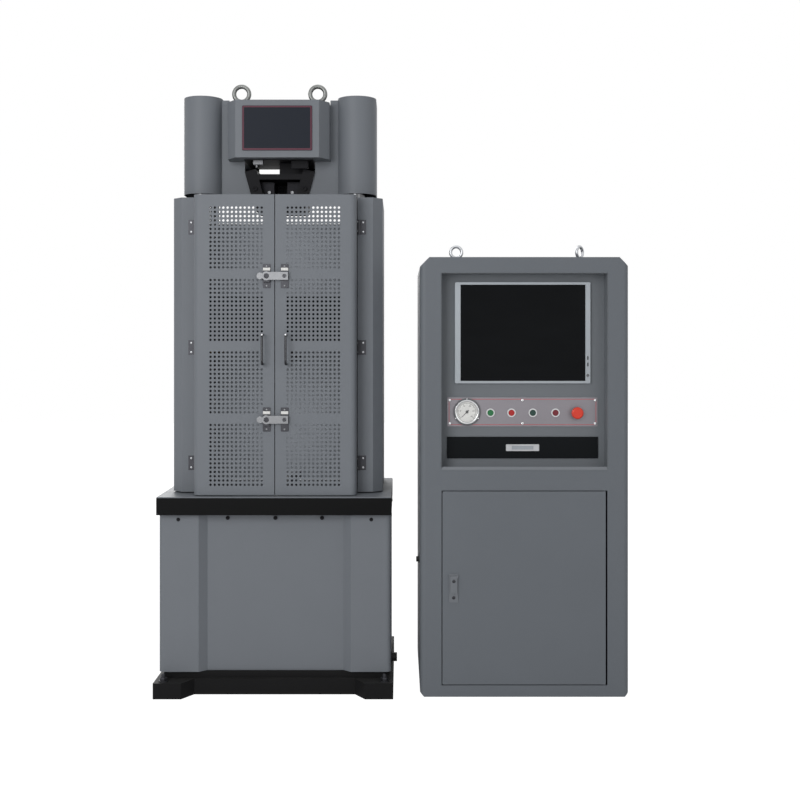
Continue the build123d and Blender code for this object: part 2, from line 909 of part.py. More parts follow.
# Cabinet blank: the outline seen from the front, drawn back, with its front corners rounded
def cabinet_blank(inset, front, back):
    half = cabinet_width / 2 - inset
    top = cabinet_height - inset
    with BuildPart() as blank:
        with BuildSketch(Plane.XZ.offset(-back)):
            with BuildLine():
                Polyline(
                    (cabinet_x - half + cabinet_foot_chamfer, inset),
                    (cabinet_x + half - cabinet_foot_chamfer, inset),
                    (cabinet_x + half, inset + cabinet_foot_chamfer),
                    (cabinet_x + half, top - cabinet_top_chamfer),
                    (cabinet_x + half - cabinet_top_chamfer, top),
                    (cabinet_x - half + cabinet_top_chamfer, top),
                    (cabinet_x - half, top - cabinet_top_chamfer),
                    (cabinet_x - half, inset + cabinet_foot_chamfer),
                    close=True,
                )
            make_face()
        extrude(amount=back - front)
        front_corners = blank.edges().filter_by(Axis.Z).sort_by(Axis.Y)[:2]
        fillet(front_corners, radius=cabinet_corner - inset)
    return blank.part


# Cabinet shell: open at the back, with the recess and door openings in its front
with BuildPart() as cabinet_shell:
    add(cabinet_blank(0, -cabinet_front, cabinet_back))
    add(
        cabinet_blank(cabinet_sheet, -cabinet_front + cabinet_sheet, cabinet_back + cabinet_sheet),
        mode=Mode.SUBTRACT,
    )
    with BuildSketch(Plane.XZ.offset(cabinet_front)):
        with Locations((cabinet_x, panel_floor + panel_height / 2)):
            Rectangle(panel_width, panel_height)
        with Locations((cabinet_x, hatch_floor + hatch_height / 2)):
            Rectangle(hatch_width, hatch_height)
    extrude(amount=-cabinet_sheet, mode=Mode.SUBTRACT)
    tab_depth = pivot_setback + pivot_pin
    for tab_floor in (hatch_floor - pivot_tab, hatch_top):
        with Locations((pivot_x, -cabinet_front + cabinet_sheet + tab_depth / 2, tab_floor)):
            Box(pivot_tab_width, tab_depth, pivot_tab, align=up)
        with Locations((pivot_x, pivot_y, tab_floor)):
            Cylinder(pivot_pin / 2 + fit_clearance, pivot_tab, align=up, mode=Mode.SUBTRACT)

with BuildPart() as cabinet_back_panel:
    add(cabinet_blank(cabinet_sheet + back_clearance, cabinet_back - cabinet_depth / 2, cabinet_back))
    with Locations((cabinet_x, cabinet_back - cabinet_sheet, 0)):
        Box(
            cabinet_width,
            2 * cabinet_sheet,
            cabinet_height,
            align=(Align.CENTER, Align.MIN, Align.MIN),
            mode=Mode.INTERSECT,
        )

with BuildPart() as cabinet_eyes:
    for offset_x, turn in ((-cabinet_eye_x, 0), (cabinet_eye_x, cabinet_eye_turn)):
        add(
            lifting_eye(
                cabinet_x + offset_x,
                cabinet_eye_y,
                cabinet_height,
                cabinet_eye_outer,
                cabinet_eye_inner,
                cabinet_eye_collar_height,
                cabinet_eye_collar_diameter,
                turn,
            )
        )

# Instrument panel: a tray set into the recess, flanged behind the shell's front
tray_width = panel_width - 2 * panel_clearance
tray_height = panel_height - 2 * panel_clearance
panel_z = panel_floor + panel_height / 2
with BuildPart() as instrument_panel:
    with BuildSketch(Plane.XZ.offset(cabinet_front - panel_clearance)):
        with Locations((cabinet_x, panel_z)):
            Rectangle(tray_width, tray_height)
            Rectangle(tray_width - 2 * panel_sheet, tray_height - 2 * panel_sheet, mode=Mode.SUBTRACT)
    extrude(amount=-(panel_depth - panel_clearance))
    with BuildSketch(Plane.XZ.offset(panel_back)):
        with Locations((cabinet_x, panel_z)):
            Rectangle(tray_width, tray_height)
        with Locations((cabinet_x, monitor_z)):
            Rectangle(
                monitor_body_width + 2 * panel_clearance,
                monitor_body_height + 2 * panel_clearance,
                mode=Mode.SUBTRACT,
            )
        with Locations((cabinet_x, drawer_z)):
            Rectangle(
                drawer_width + 2 * drawer_opening_gap,
                drawer_height + 2 * drawer_opening_gap,
                mode=Mode.SUBTRACT,
            )
        with Locations(*[(cabinet_x + x, button_z) for x in button_x.values()]):
            Circle(button_cap / 2 + button_clearance, mode=Mode.SUBTRACT)
        with Locations((cabinet_x + gauge_x, strip_z)):
            Circle(gauge_case / 2 + panel_clearance, mode=Mode.SUBTRACT)
    extrude(amount=-panel_sheet)
    with BuildSketch(Plane.XZ.offset(cabinet_front - cabinet_sheet)):
        with Locations((cabinet_x, panel_z)):
            Rectangle(tray_width + 2 * panel_flange, tray_height + 2 * panel_flange)
            Rectangle(tray_width - 2 * panel_sheet, tray_height - 2 * panel_sheet, mode=Mode.SUBTRACT)
    extrude(amount=-panel_sheet)

# Monitor: a bezel in front of the panel, a body through it and a glass screen let into it
with BuildPart() as monitor:
    with BuildSketch(Plane.XZ.offset(panel_back)):
        with Locations((cabinet_x, monitor_z)):
            RectangleRounded(monitor_width, monitor_height, monitor_bezel / 2)
    extrude(amount=monitor_bezel)
    with BuildSketch(Plane.XZ.offset(panel_back)):
        with Locations((cabinet_x, monitor_z)):
            Rectangle(monitor_body_width, monitor_body_height)
    extrude(amount=-monitor_body_depth)
    with BuildSketch(Plane.XZ.offset(panel_back + monitor_bezel)):
        with Locations((cabinet_x + screen_shift_x, monitor_z)):
            Rectangle(screen_width, screen_height)
    extrude(amount=-(screen_recess + screen_thickness), mode=Mode.SUBTRACT)

with BuildPart() as monitor_screen:
    with BuildSketch(Plane.XZ.offset(panel_back + monitor_bezel - screen_recess)):
        with Locations((cabinet_x + screen_shift_x, monitor_z)):
            Rectangle(screen_width - 2 * panel_clearance, screen_height - 2 * panel_clearance)
    extrude(amount=-screen_thickness)

# Control strip with its gauge and push buttons
with BuildPart() as control_strip:
    with BuildSketch(Plane.XZ.offset(panel_back)):
        with Locations((cabinet_x, strip_z)):
            RectangleRounded(strip_width, strip_height, strip_sheet)
        with Locations(*[(cabinet_x + x, button_z) for x in button_x.values()]):
            Circle(button_cap / 2 + button_clearance, mode=Mode.SUBTRACT)
        with Locations((cabinet_x + gauge_x, strip_z)):
            Circle(gauge_case / 2 + panel_clearance, mode=Mode.SUBTRACT)
    extrude(amount=strip_sheet)

with BuildPart() as button_rings:
    with BuildSketch(Plane.XZ.offset(strip_front)):
        with Locations(*[(cabinet_x + x, button_z) for x in button_x.values()]):
            Circle(button_ring / 2)
            Circle(button_cap / 2 + button_clearance, mode=Mode.SUBTRACT)
    extrude(amount=button_ring_height)

gauge_centre = (cabinet_x + gauge_x, strip_z)
with BuildPart() as pressure_gauge:
    with BuildSketch(Plane.XZ.offset(strip_front)):
        with Locations(gauge_centre):
            Circle(gauge_flange / 2)
    extrude(amount=gauge_flange_height)
    with BuildSketch(Plane.XZ.offset(strip_front)):
        with Locations(gauge_centre):
            Circle(gauge_case / 2)
    extrude(amount=-gauge_case_depth)
    with BuildSketch(Plane.XZ.offset(gauge_front)):
        with Locations(gauge_centre):
            Circle(gauge_dial / 2)
            Circle(gauge_pin / 2, mode=Mode.SUBTRACT)
    extrude(amount=-gauge_dial_depth, mode=Mode.SUBTRACT)

with BuildPart() as gauge_needle:
    needle_back = gauge_front - gauge_dial_depth + needle_sheet
    with BuildSketch(Plane.XZ.offset(needle_back)):
        with Locations(gauge_centre):
            with BuildLine():
                Polyline(
                    (-needle_tail, -needle_width / 2),
                    (needle_length, 0),
                    (-needle_tail, needle_width / 2),
                    close=True,
                )
            pointer = make_face(mode=Mode.PRIVATE)
            add(pointer.rotate(Axis.Z, needle_rest_angle))
            Circle(needle_hub / 2)
            Circle(gauge_pin / 2 + fit_clearance, mode=Mode.SUBTRACT)
    extrude(amount=needle_sheet)


def push_button(x, stand):
    with BuildPart() as button:
        with BuildSketch(Plane.XZ.offset(strip_front + stand)):
            with Locations((cabinet_x + x, button_z)):
                Circle(button_cap / 2)
        extrude(amount=-button_stem - stand + button_stand)
        chamfer(button.faces().sort_by(Axis.Y)[0].edges(), length=button_chamfer)
    return button


start_button = push_button(button_x["start"], button_stand)
stop_button = push_button(button_x["stop"], button_stand)
raise_button = push_button(button_x["raise"], button_stand)
lower_button = push_button(button_x["lower"], button_stand)

with BuildPart() as emergency_button:
    mushroom_back = strip_front + mushroom_stand
    with BuildSketch(Plane.XZ.offset(mushroom_back)):
        with Locations((cabinet_x + button_x["emergency"], button_z)):
            Circle(button_cap / 2)
    extrude(amount=-button_stem - mushroom_stand + button_stand)
    with BuildSketch(Plane.XZ.offset(mushroom_back)):
        with Locations((cabinet_x + button_x["emergency"], button_z)):
            Circle(mushroom_diameter / 2)
    extrude(amount=mushroom_height)
    fillet(emergency_button.faces().sort_by(Axis.Y)[0].edges(), radius=mushroom_height / 2)

# Keyboard drawer: an open tray behind a front plate, on two runners
with BuildPart() as keyboard_drawer:
    with BuildSketch(Plane.XZ.offset(panel_back)):
        with Locations((cabinet_x, drawer_z)):
            Rectangle(drawer_front_width, drawer_front_height)
    extrude(amount=drawer_front_sheet)
    tray_y = -panel_back + drawer_length / 2
    with Locations((cabinet_x, tray_y, drawer_floor)):
        Box(drawer_width, drawer_length, drawer_height, align=up)
    with Locations((cabinet_x, tray_y, drawer_floor + drawer_wall)):
        Box(
            drawer_width - 2 * drawer_wall,
            drawer_length - 2 * drawer_wall,
            drawer_height,
            align=up,
            mode=Mode.SUBTRACT,
        )

with BuildPart() as drawer_handle:
    with BuildSketch(Plane.XZ.offset(panel_back + drawer_front_sheet)):
        with Locations((cabinet_x, drawer_z)):
            RectangleRounded(pull_width, pull_height, pull_sheet)
            Rectangle(pull_window_width, pull_window_height, mode=Mode.SUBTRACT)
    extrude(amount=pull_sheet)

runner_x = drawer_width / 2 + runner_gap + runner_width / 2
with BuildPart() as drawer_runners:
    with Locations(
        *[(cabinet_x + side * runner_x, -panel_back + panel_sheet, drawer_floor) for side in (-1, 1)]
    ):
        Box(runner_width, runner_length, runner_height, align=(Align.CENTER, Align.MIN, Align.MIN))

with BuildPart() as keyboard:
    keyboard_front_y = -panel_back + drawer_wall + keyboard_front_gap
    keyboard_floor = drawer_floor + drawer_wall
    with BuildSketch(Plane.YZ.offset(cabinet_x - keyboard_width / 2)):
        with BuildLine():
            Polyline(
                (keyboard_front_y, keyboard_floor),
                (keyboard_front_y + keyboard_length, keyboard_floor),
                (keyboard_front_y + keyboard_length, keyboard_floor + keyboard_back_height),
                (keyboard_front_y, keyboard_floor + keyboard_front_height),
                close=True,
            )
        make_face()
    extrude(amount=keyboard_width)

# Cabinet door: a folded pan hung on pivot pins, set flush in its opening
door_left_x = hatch_left + hatch_gap
door_right_x = hatch_right - hatch_hinge_gap
door_low = hatch_floor + hatch_gap
door_high = hatch_top - hatch_gap
with BuildPart() as cabinet_door:
    with BuildSketch(Plane.XZ.offset(cabinet_front)):
        with Locations(((door_left_x + door_right_x) / 2, (door_low + door_high) / 2)):
            Rectangle(door_right_x - door_left_x, door_high - door_low)
    extrude(amount=-hatch_depth)
    with BuildSketch(Plane.XZ.offset(cabinet_front - hatch_depth)):
        with Locations(((door_left_x + door_right_x) / 2, (door_low + door_high) / 2)):
            Rectangle(
                door_right_x - door_left_x - 4 * pivot_pin,
                door_high - door_low - 2 * hatch_sheet,
            )
    extrude(amount=hatch_depth - hatch_sheet, mode=Mode.SUBTRACT)
    with Locations((pivot_x, pivot_y, door_high), (pivot_x, pivot_y, door_low - pivot_length)):
        Cylinder(pivot_pin / 2, pivot_length, align=up)

# Door lock: a plate with two lugs, and a lever that swings out on a pin
lever_top = lock_z + lock_height / 2 - lock_lever_thickness - lock_lug
with BuildPart() as door_lock:
    with BuildSketch(Plane.XZ.offset(cabinet_front)):
        with Locations((cabinet_x + lock_x, lock_z)):
            RectangleRounded(lock_width, lock_height, lock_plate)
    extrude(amount=lock_plate)
    lug_x = lock_lever_width / 2 + lock_lever_gap + lock_lug / 2
    pin_y = -lock_front - lock_lever_thickness / 2 - lock_lever_gap
    with Locations(
        *[(cabinet_x + lock_x + side * lug_x, -lock_front, lever_top) for side in (-1, 1)]
    ):
        Box(lock_lug, lock_lever_thickness, 2 * lock_lug, align=(Align.CENTER, Align.MAX, Align.CENTER))
    with Locations(Location((cabinet_x + lock_x, pin_y, lever_top), (0, 90, 0))):
        Cylinder(lock_pin / 2, 2 * lug_x)

with BuildPart() as lock_lever:
    with BuildSketch(Plane.YZ.offset(cabinet_x + lock_x - lock_lever_width / 2)):
        with Locations((pin_y, lever_top)):
            Circle(lock_lever_thickness / 2)
        with Locations((pin_y, lever_top - lock_lever_height / 2)):
            Rectangle(lock_lever_thickness, lock_lever_height)
        with Locations((pin_y, lever_top)):
            Circle(lock_pin / 2 + fit_clearance, mode=Mode.SUBTRACT)
    extrude(amount=lock_lever_width)

# Hydraulic unit behind the door: oil tank with a lid, pump motor and valve block
tank_floor = cabinet_sheet
tank_top = tank_floor + tank_height
lid_floor = tank_top + gasket
lid_top = lid_floor + tank_lid
with BuildPart() as hydraulic_unit:
    with Locations((cabinet_x, tank_y, tank_floor)):
        Box(tank_width, tank_depth, tank_height, align=up)
    with Locations((cabinet_x, tank_y, lid_floor)):
        Box(tank_width + 2 * tank_lid_lip, tank_depth + 2 * tank_lid_lip, tank_lid, align=up)
    with Locations((cabinet_x + pump_motor_x, tank_y, lid_top + gasket)):
        Cylinder(pump_motor_diameter / 2, pump_motor_height, align=up)
    with Locations((cabinet_x + valve_x, tank_y, lid_top + gasket)):
        Box(valve_width, valve_depth, valve_height, align=up)

# Cable sockets: one on the housing's right side, one on the cabinet's left side
with BuildPart() as cable_sockets:
    sockets = (
        (Plane.YZ.offset(cover_width / 2), frame_socket_y, frame_socket_z,
         frame_socket_diameter, frame_socket_reach),
        (Plane.ZY.offset(cabinet_width / 2 - cabinet_x), cabinet_socket_z, cabinet_socket_y,
         cabinet_socket_diameter, cabinet_socket_reach),
    )
    for side_plane, first, second, diameter, reach in sockets:
        with BuildSketch(side_plane):
            with Locations((first, second)):
                Circle(diameter / 2)
        extrude(amount=reach)
        with BuildSketch(side_plane):
            with Locations((first, second)):
                Circle((diameter + socket_flange_extra) / 2)
        extrude(amount=socket_flange_height)

# Each piece is written under its own name
pieces = {
    "base_plate": base_plate,
    "front_cover": front_cover,
    "rear_cover": rear_cover,
    "main_cylinder": main_cylinder,
    "piston": piston,
    "screw_drives": screw_drives,
    "lead_screw_left": lead_screw_left,
    "lead_screw_right": lead_screw_right,
    "table": table,
    "table_sheet": table_sheet,
    "columns": columns,
    "upper_crosshead": upper_crosshead,
    "column_shrouds": column_shrouds,
    "lifting_eyes": lifting_eyes,
    "upper_grip": upper_grip,
    "upper_jaw_left": upper_jaw_left,
    "upper_jaw_right": upper_jaw_right,
    "middle_crosshead": middle_crosshead,
    "lower_jaw_left": lower_jaw_left,
    "lower_jaw_right": lower_jaw_right,
    "screw_nuts": screw_nuts,
    "upper_platen": upper_platen,
    "lower_platen": lower_platen,
    "guard_side_panels": guard_side_panels,
    "guard_rear_panel": guard_rear_panel,
    "guard_door_left": guard_door_left,
    "guard_door_right": guard_door_right,
    "guard_hinges": guard_hinges,
    "left_door_hinges": left_door_hinges,
    "right_door_hinges": right_door_hinges,
    "left_door_handle": left_door_handle,
    "right_door_handle": right_door_handle,
    "latch_keepers": latch_keepers,
    "latch_bases": latch_bases,
    "lower_latch_bar": lower_latch_bar,
    "upper_latch_bar": upper_latch_bar,
    "cable_sockets": cable_sockets,
    "cabinet_shell": cabinet_shell,
    "cabinet_back_panel": cabinet_back_panel,
    "cabinet_eyes": cabinet_eyes,
    "instrument_panel": instrument_panel,
    "monitor": monitor,
    "monitor_screen": monitor_screen,
    "control_strip": control_strip,
    "button_rings": button_rings,
    "pressure_gauge": pressure_gauge,
    "gauge_needle": gauge_needle,
    "start_button": start_button,
    "stop_button": stop_button,
    "raise_button": raise_button,
    "lower_button": lower_button,
    "emergency_button": emergency_button,
    "keyboard_drawer": keyboard_drawer,
    "drawer_handle": drawer_handle,
    "drawer_runners": drawer_runners,
    "keyboard": keyboard,
    "cabinet_door": cabinet_door,
    "door_lock": door_lock,
    "lock_lever": lock_lever,
    "hydraulic_unit": hydraulic_unit,
}
os.makedirs("parts", exist_ok=True)
for name, piece in pieces.items():
    piece.part.label = name
    export_step(piece.part, f"parts/{name}.step")
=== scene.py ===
# Looks of the universal testing machine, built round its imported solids.
# Metres, +Z up, the front faces -Y.
from math import cos, pi, radians, sin

import bmesh
import bpy
from mathutils import Euler, Matrix, Vector


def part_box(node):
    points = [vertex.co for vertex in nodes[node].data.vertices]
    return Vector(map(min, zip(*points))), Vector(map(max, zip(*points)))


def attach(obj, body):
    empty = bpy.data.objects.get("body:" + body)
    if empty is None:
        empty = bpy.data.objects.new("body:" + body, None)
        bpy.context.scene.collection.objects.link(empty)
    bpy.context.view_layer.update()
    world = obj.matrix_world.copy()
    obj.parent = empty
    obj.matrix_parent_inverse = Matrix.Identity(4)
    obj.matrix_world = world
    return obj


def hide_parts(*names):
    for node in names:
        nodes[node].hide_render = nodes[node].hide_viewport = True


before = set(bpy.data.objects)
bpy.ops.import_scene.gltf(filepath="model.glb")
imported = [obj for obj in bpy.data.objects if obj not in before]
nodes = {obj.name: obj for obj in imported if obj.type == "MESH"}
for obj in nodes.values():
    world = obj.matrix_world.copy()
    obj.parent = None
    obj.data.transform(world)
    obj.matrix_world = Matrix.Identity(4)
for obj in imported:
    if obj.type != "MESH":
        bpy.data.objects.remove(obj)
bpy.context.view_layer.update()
scene = bpy.context.scene
print("frame loaded,", len(nodes), "nodes")


# Node graphs: sockets that take part in plain expressions, and one method for every other node
class Sock:
    def __init__(self, graph, socket):
        self.graph = graph
        self.socket = socket

    def maths(self, operation, first, second):
        return self.graph.add("ShaderNodeMath", {0: first, 1: second}, {"operation": operation})

    def __add__(self, other):
        return self.maths("ADD", self, other)

    def __mul__(self, other):
        return self.maths("MULTIPLY", self, other)

    def __gt__(self, other):
        return self.maths("GREATER_THAN", self, other)


class Graph:
    family = "ShaderNode"

    def __init__(self, tree):
        self.tree = tree

    def add(self, kind, inputs=None, settings=None, output=0):
        # kinds of the tree's own family go by their short names
        node = self.tree.nodes.new(kind if "Node" in kind else self.family + kind)
        for key, value in (settings or {}).items():
            setattr(node, key, value)
        for key, value in (inputs or {}).items():
            self.feed(node.inputs[key], value)
        return Sock(self, node.outputs[output])

    def feed(self, slot, value):
        if isinstance(value, (list, tuple)) and value and isinstance(value[0], Sock):
            for each in value:
                self.tree.links.new(each.socket, slot)
        elif isinstance(value, Sock):
            self.tree.links.new(value.socket, slot)
        else:
            slot.default_value = value


class Finish(Graph):
    # one material: a Principled shader and the patterns that feed it, all on Object coordinates
    def __init__(self, name, colour, roughness, metallic=0):
        self.material = bpy.data.materials.new(name)
        self.material.use_nodes = True
        self.material.diffuse_color = (*colour, 1)
        super().__init__(self.material.node_tree)
        self.shader = self.tree.nodes["Principled BSDF"]
        self.put("Base Color", (*colour, 1))
        self.put("Roughness", roughness)
        self.put("Metallic", metallic)
        self.place = self.add("TexCoord", output="Object")

    def put(self, slot, value):
        self.feed(self.shader.inputs[slot], value)

    def dull(self, level):
        self.shader.inputs["Specular IOR Level"].default_value = level

    def noise(self, scale, detail=3, stretch=(1, 1, 1)):
        place = self.add("Mapping", {"Vector": self.place, "Scale": stretch})
        return self.add("TexNoise", {"Vector": place, "Scale": scale, "Detail": detail})

    def mix(self, factor, first, second):
        settings = {"data_type": "RGBA", "clamp_factor": True}
        return self.add("Mix", {0: factor, 6: first, 7: second}, settings, output=2)

    def vary(self, pattern, colour, low, high):
        return self.mix(pattern, tint(colour, low), tint(colour, high))

    def bump(self, height, strength, distance):
        sizes = {"Height": height, "Strength": strength, "Distance": distance}
        self.put("Normal", self.add("Bump", sizes))


def tint(colour, factor):
    return (*[part * factor for part in colour], 1)


# Powder coat: fine orange peel, faint clouding and a little dust on faces that look up
def powderCoat(name, colour, roughness, cloud=0.06, peel=0.16, dust=0.05):
    finish = Finish(name, colour, roughness)
    finish.dull(0.28 if max(colour) > 0.05 else 0.07)
    clouds = finish.noise(3.1, 4)
    speckle = finish.noise(420, 2)
    shade = finish.vary(clouds, colour, 1 - cloud, 1 + cloud)
    shade = finish.mix(speckle * 0.35, shade, tint(colour, 1.16))
    facing = finish.add("NewGeometry", output="Normal")
    up = finish.add("SeparateXYZ", {"Vector": facing}, output="Z")
    dusty = (up > 0.8) * finish.noise(9, 5) * dust
    finish.put("Base Color", finish.mix(dusty, shade, (0.5, 0.5, 0.48, 1)))
    finish.put("Roughness", finish.noise(14, 4) * 0.12 + (roughness - 0.06))
    finish.bump(finish.noise(650, 2) + speckle * 0.3, peel, 0.0004)
    return finish.material


# Ground or turned metal: fine lines along one direction and a faint stain
def groundMetal(name, colour, roughness, stretch, lines=260):
    finish = Finish(name, colour, roughness, 1)
    grain = finish.noise(lines, 3, stretch)
    stain = finish.noise(5, 5)
    finish.put("Base Color", finish.vary(stain, colour, 0.86, 1.06))
    finish.put("Roughness", grain * 0.16 + stain * 0.08 + (roughness - 0.12))
    finish.bump(grain, 0.12, 0.0002)
    return finish.material


# Plated metal: mottled, with rubbed patches that shine more
def platedMetal(name, colour, roughness, mottle=0.14):
    finish = Finish(name, colour, roughness, 1)
    patches = finish.noise(60, 4)
    rubbed = finish.noise(17, 3)
    finish.put("Base Color", finish.vary(patches, colour, 1 - mottle, 1 + mottle / 2))
    finish.put("Roughness", rubbed * 0.2 + (roughness - 0.1))
    finish.bump(patches, 0.05, 0.0003)
    return finish.material


# Moulded plastic: a fine grain and a soft change of gloss
def mouldedPlastic(name, colour, roughness, grain=0.1, coat=0.0):
    finish = Finish(name, colour, roughness)
    finish.dull(0.3)
    pebble = finish.noise(900, 2)
    finish.put("Base Color", finish.vary(finish.noise(35, 3), colour, 0.92, 1.08))
    finish.put("Roughness", finish.noise(30, 3) * 0.1 + (roughness - 0.05))
    finish.put("Coat Weight", coat)
    finish.bump(pebble, grain, 0.0002)
    return finish.material


# Dark glass of the screen: almost black, glossy, with a trace of wiping marks
def screenGlass(name):
    colour = (0.005, 0.0057, 0.0066)
    finish = Finish(name, colour, 0.1)
    finish.dull(0.06)
    wipes = finish.noise(7, 4, (1, 1, 2.6))
    finish.put("Base Color", finish.vary(wipes, colour, 0.8, 1.3))
    finish.put("Roughness", wipes * 0.1 + 0.1)
    return finish.material


# Clear cover of the gauge
def gaugeGlass(name):
    finish = Finish(name, (1, 1, 1), 0.04)
    finish.put("Alpha", finish.add("Fresnel", {"IOR": 1.35}) * 0.6 + 0.05)
    finish.put("Roughness", finish.noise(30, 3) * 0.04 + 0.03)
    return finish.material


finishRecipes = {
    "frameGrey": (powderCoat, (0.166, 0.18, 0.2), 0.5),
    "cabinetGrey": (powderCoat, (0.138, 0.152, 0.17), 0.5),
    # instrument panel: lighter than the cabinet grey, painted light that lifts the shade inside the recess
    "recessGrey": (powderCoat, (0.16, 0.174, 0.19), 0.52),
    "tableBlack": (powderCoat, (0.0055, 0.0057, 0.006), 0.45),
    "baseBlack": (powderCoat, (0.012, 0.012, 0.0125), 0.5, 0.1, 0.3),
    "drawerBlack": (powderCoat, (0.0065, 0.0078, 0.0092), 0.42),
    "gripBlack": (powderCoat, (0.014, 0.014, 0.016), 0.48, 0.12, 0.3, 0.02),
    "castGrey": (powderCoat, (0.1, 0.108, 0.118), 0.55, 0.12, 0.5),
    "castBlack": (powderCoat, (0.018, 0.019, 0.021), 0.55, 0.12, 0.5),
    "lockGrey": (powderCoat, (0.17, 0.182, 0.2), 0.4),
    # sill: lighter than the cabinet grey, painted highlight of the sill's lit top
    "sillGrey": (powderCoat, (0.2, 0.215, 0.235), 0.45),
    # columns: dark steel instead of bright chrome, painted shade for the dark seen through the door holes
    "columnSteel": (groundMetal, (0.13, 0.133, 0.138), 0.22, (0.4, 0.4, 4)),
    "screwSteel": (groundMetal, (0.09, 0.09, 0.092), 0.36, (1, 1, 0.2), 120),
    "jawBlack": (groundMetal, (0.016, 0.016, 0.018), 0.5, (1, 6, 1), 90),
    "platenSteel": (groundMetal, (0.5, 0.5, 0.51), 0.3, (1, 1, 0.1)),
    "zinc": (platedMetal, (0.52, 0.53, 0.55), 0.36),
    "eyeSteel": (platedMetal, (0.2, 0.205, 0.2), 0.42),
    "hingeDark": (platedMetal, (0.062, 0.063, 0.07), 0.45),
    "latchSteel": (platedMetal, (0.23, 0.235, 0.245), 0.46),
    "handleDark": (platedMetal, (0.055, 0.056, 0.06), 0.24),
    "gaugeSteel": (platedMetal, (0.13, 0.132, 0.14), 0.4),
    "chrome": (platedMetal, (0.72, 0.73, 0.74), 0.16, 0.04),
    "bronze": (groundMetal, (0.5, 0.34, 0.15), 0.34, (1, 1, 0.2)),
    "bezelSilver": (platedMetal, (0.325, 0.35, 0.375), 0.46, 0.05),
    "stripSilver": (groundMetal, (0.26, 0.246, 0.267), 0.5, (0.15, 1, 3), 300),
    "screenGlass": (screenGlass,),
    "gaugeGlass": (gaugeGlass,),
    "dialWhite": (mouldedPlastic, (0.78, 0.78, 0.76), 0.5),
    "markBlack": (mouldedPlastic, (0.012, 0.012, 0.013), 0.5),
    "keyBlack": (mouldedPlastic, (0.02, 0.021, 0.022), 0.48, 0.25),
    "capGreen": (mouldedPlastic, (0.015, 0.16, 0.05), 0.3, 0.05, 0.4),
    "capRed": (mouldedPlastic, (0.42, 0.012, 0.012), 0.3, 0.05, 0.4),
    "capDarkGreen": (mouldedPlastic, (0.008, 0.045, 0.035), 0.3, 0.05, 0.4),
    "capDarkRed": (mouldedPlastic, (0.17, 0.01, 0.02), 0.3, 0.05, 0.4),
    "mushroomRed": (mouldedPlastic, (0.72, 0.045, 0.02), 0.34, 0.05, 0.3),
    "panelNavy": (powderCoat, (0.02, 0.0235, 0.032), 0.42, 0.06, 0.1, 0.02),
    "borderRed": (mouldedPlastic, (0.09, 0.018, 0.036), 0.45, 0.05),
    "linePink": (mouldedPlastic, (0.45, 0.12, 0.13), 0.45, 0.05),
    "socketBlack": (mouldedPlastic, (0.016, 0.016, 0.017), 0.5, 0.3),
}
finishes = {name: make(name, *values) for name, (make, *values) in finishRecipes.items()}
print("finishes made:", len(finishes))

# The finish of every solid that shows as it is
nodeFinish = {
    "frameGrey": ["front_cover", "rear_cover", "table_sheet", "upper_crosshead", "column_shrouds",
                  "guard_side_panels", "guard_rear_panel"],
    "cabinetGrey": ["cabinet_shell", "cabinet_back_panel", "cabinet_door"],
    "recessGrey": ["instrument_panel"],
    "tableBlack": ["table"],
    "baseBlack": ["base_plate", "screw_drives", "hydraulic_unit"],
    "drawerBlack": ["keyboard_drawer"],
    "gripBlack": ["upper_grip"],
    "castGrey": ["main_cylinder"],
    "castBlack": ["middle_crosshead"],
    "columnSteel": ["columns"],
    "jawBlack": ["upper_jaw_left", "upper_jaw_right", "lower_jaw_left", "lower_jaw_right"],
    "platenSteel": ["upper_platen", "lower_platen", "drawer_runners", "piston"],
    "latchSteel": ["upper_latch_bar", "lower_latch_bar"],
    "hingeDark": ["latch_keepers", "latch_bases", "guard_hinges", "left_door_hinges", "right_door_hinges"],
    "lockGrey": ["door_lock", "lock_lever"],
    "eyeSteel": ["lifting_eyes"],
    "zinc": ["cabinet_eyes", "drawer_handle"],
    "handleDark": ["left_door_handle", "right_door_handle"],
    "chrome": ["button_rings"],
    "gaugeSteel": ["pressure_gauge"],
    "bronze": ["screw_nuts"],
    "bezelSilver": ["monitor"],
    "stripSilver": ["control_strip"],
    "screenGlass": ["monitor_screen"],
    "markBlack": ["gauge_needle"],
    "capGreen": ["start_button"],
    "capRed": ["stop_button"],
    "capDarkGreen": ["raise_button"],
    "capDarkRed": ["lower_button"],
    "mushroomRed": ["emergency_button"],
    "keyBlack": ["keyboard"],
    "socketBlack": ["cable_sockets"],
}
for finishName, names in nodeFinish.items():
    for nodeName in names:
        mesh = nodes[nodeName].data
        mesh.materials.clear()
        mesh.materials.append(finishes[finishName])
print("solids painted")

# Mesh helpers
faceTurn = {
    "front": (pi / 2, 0, 0),
    "right": (pi / 2, 0, pi / 2),
    "back": (pi / 2, 0, pi),
    "left": (pi / 2, 0, -pi / 2),
    "up": (0, 0, 0),
    "down": (pi, 0, 0),
}
smoothAngle = radians(32)
sideSigns = {"left": -1, "right": 1}


def seat(side, at, roll=0):
    # local +Z points out of that side, local +Y up
    turn = Euler(faceTurn[side]).to_matrix().to_4x4()
    return Matrix.Translation(at) @ turn @ Matrix.Rotation(roll, 4, "Z")


def stand(name, data):
    # a new object in the scene
    item = bpy.data.objects.new(name, data)
    scene.collection.objects.link(item)
    return item


def bake(holder):
    # the mesh of an object after its modifiers; the object itself goes
    ready = holder.evaluated_get(bpy.context.evaluated_depsgraph_get())
    mesh = bpy.data.meshes.new_from_object(ready)
    bpy.data.objects.remove(holder)
    return mesh


def middle(node):
    low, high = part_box(node)
    return (low + high) / 2


def toMesh(name, work):
    bmesh.ops.recalc_face_normals(work, faces=work.faces)
    mesh = bpy.data.meshes.new(name)
    work.to_mesh(mesh)
    work.free()
    return mesh


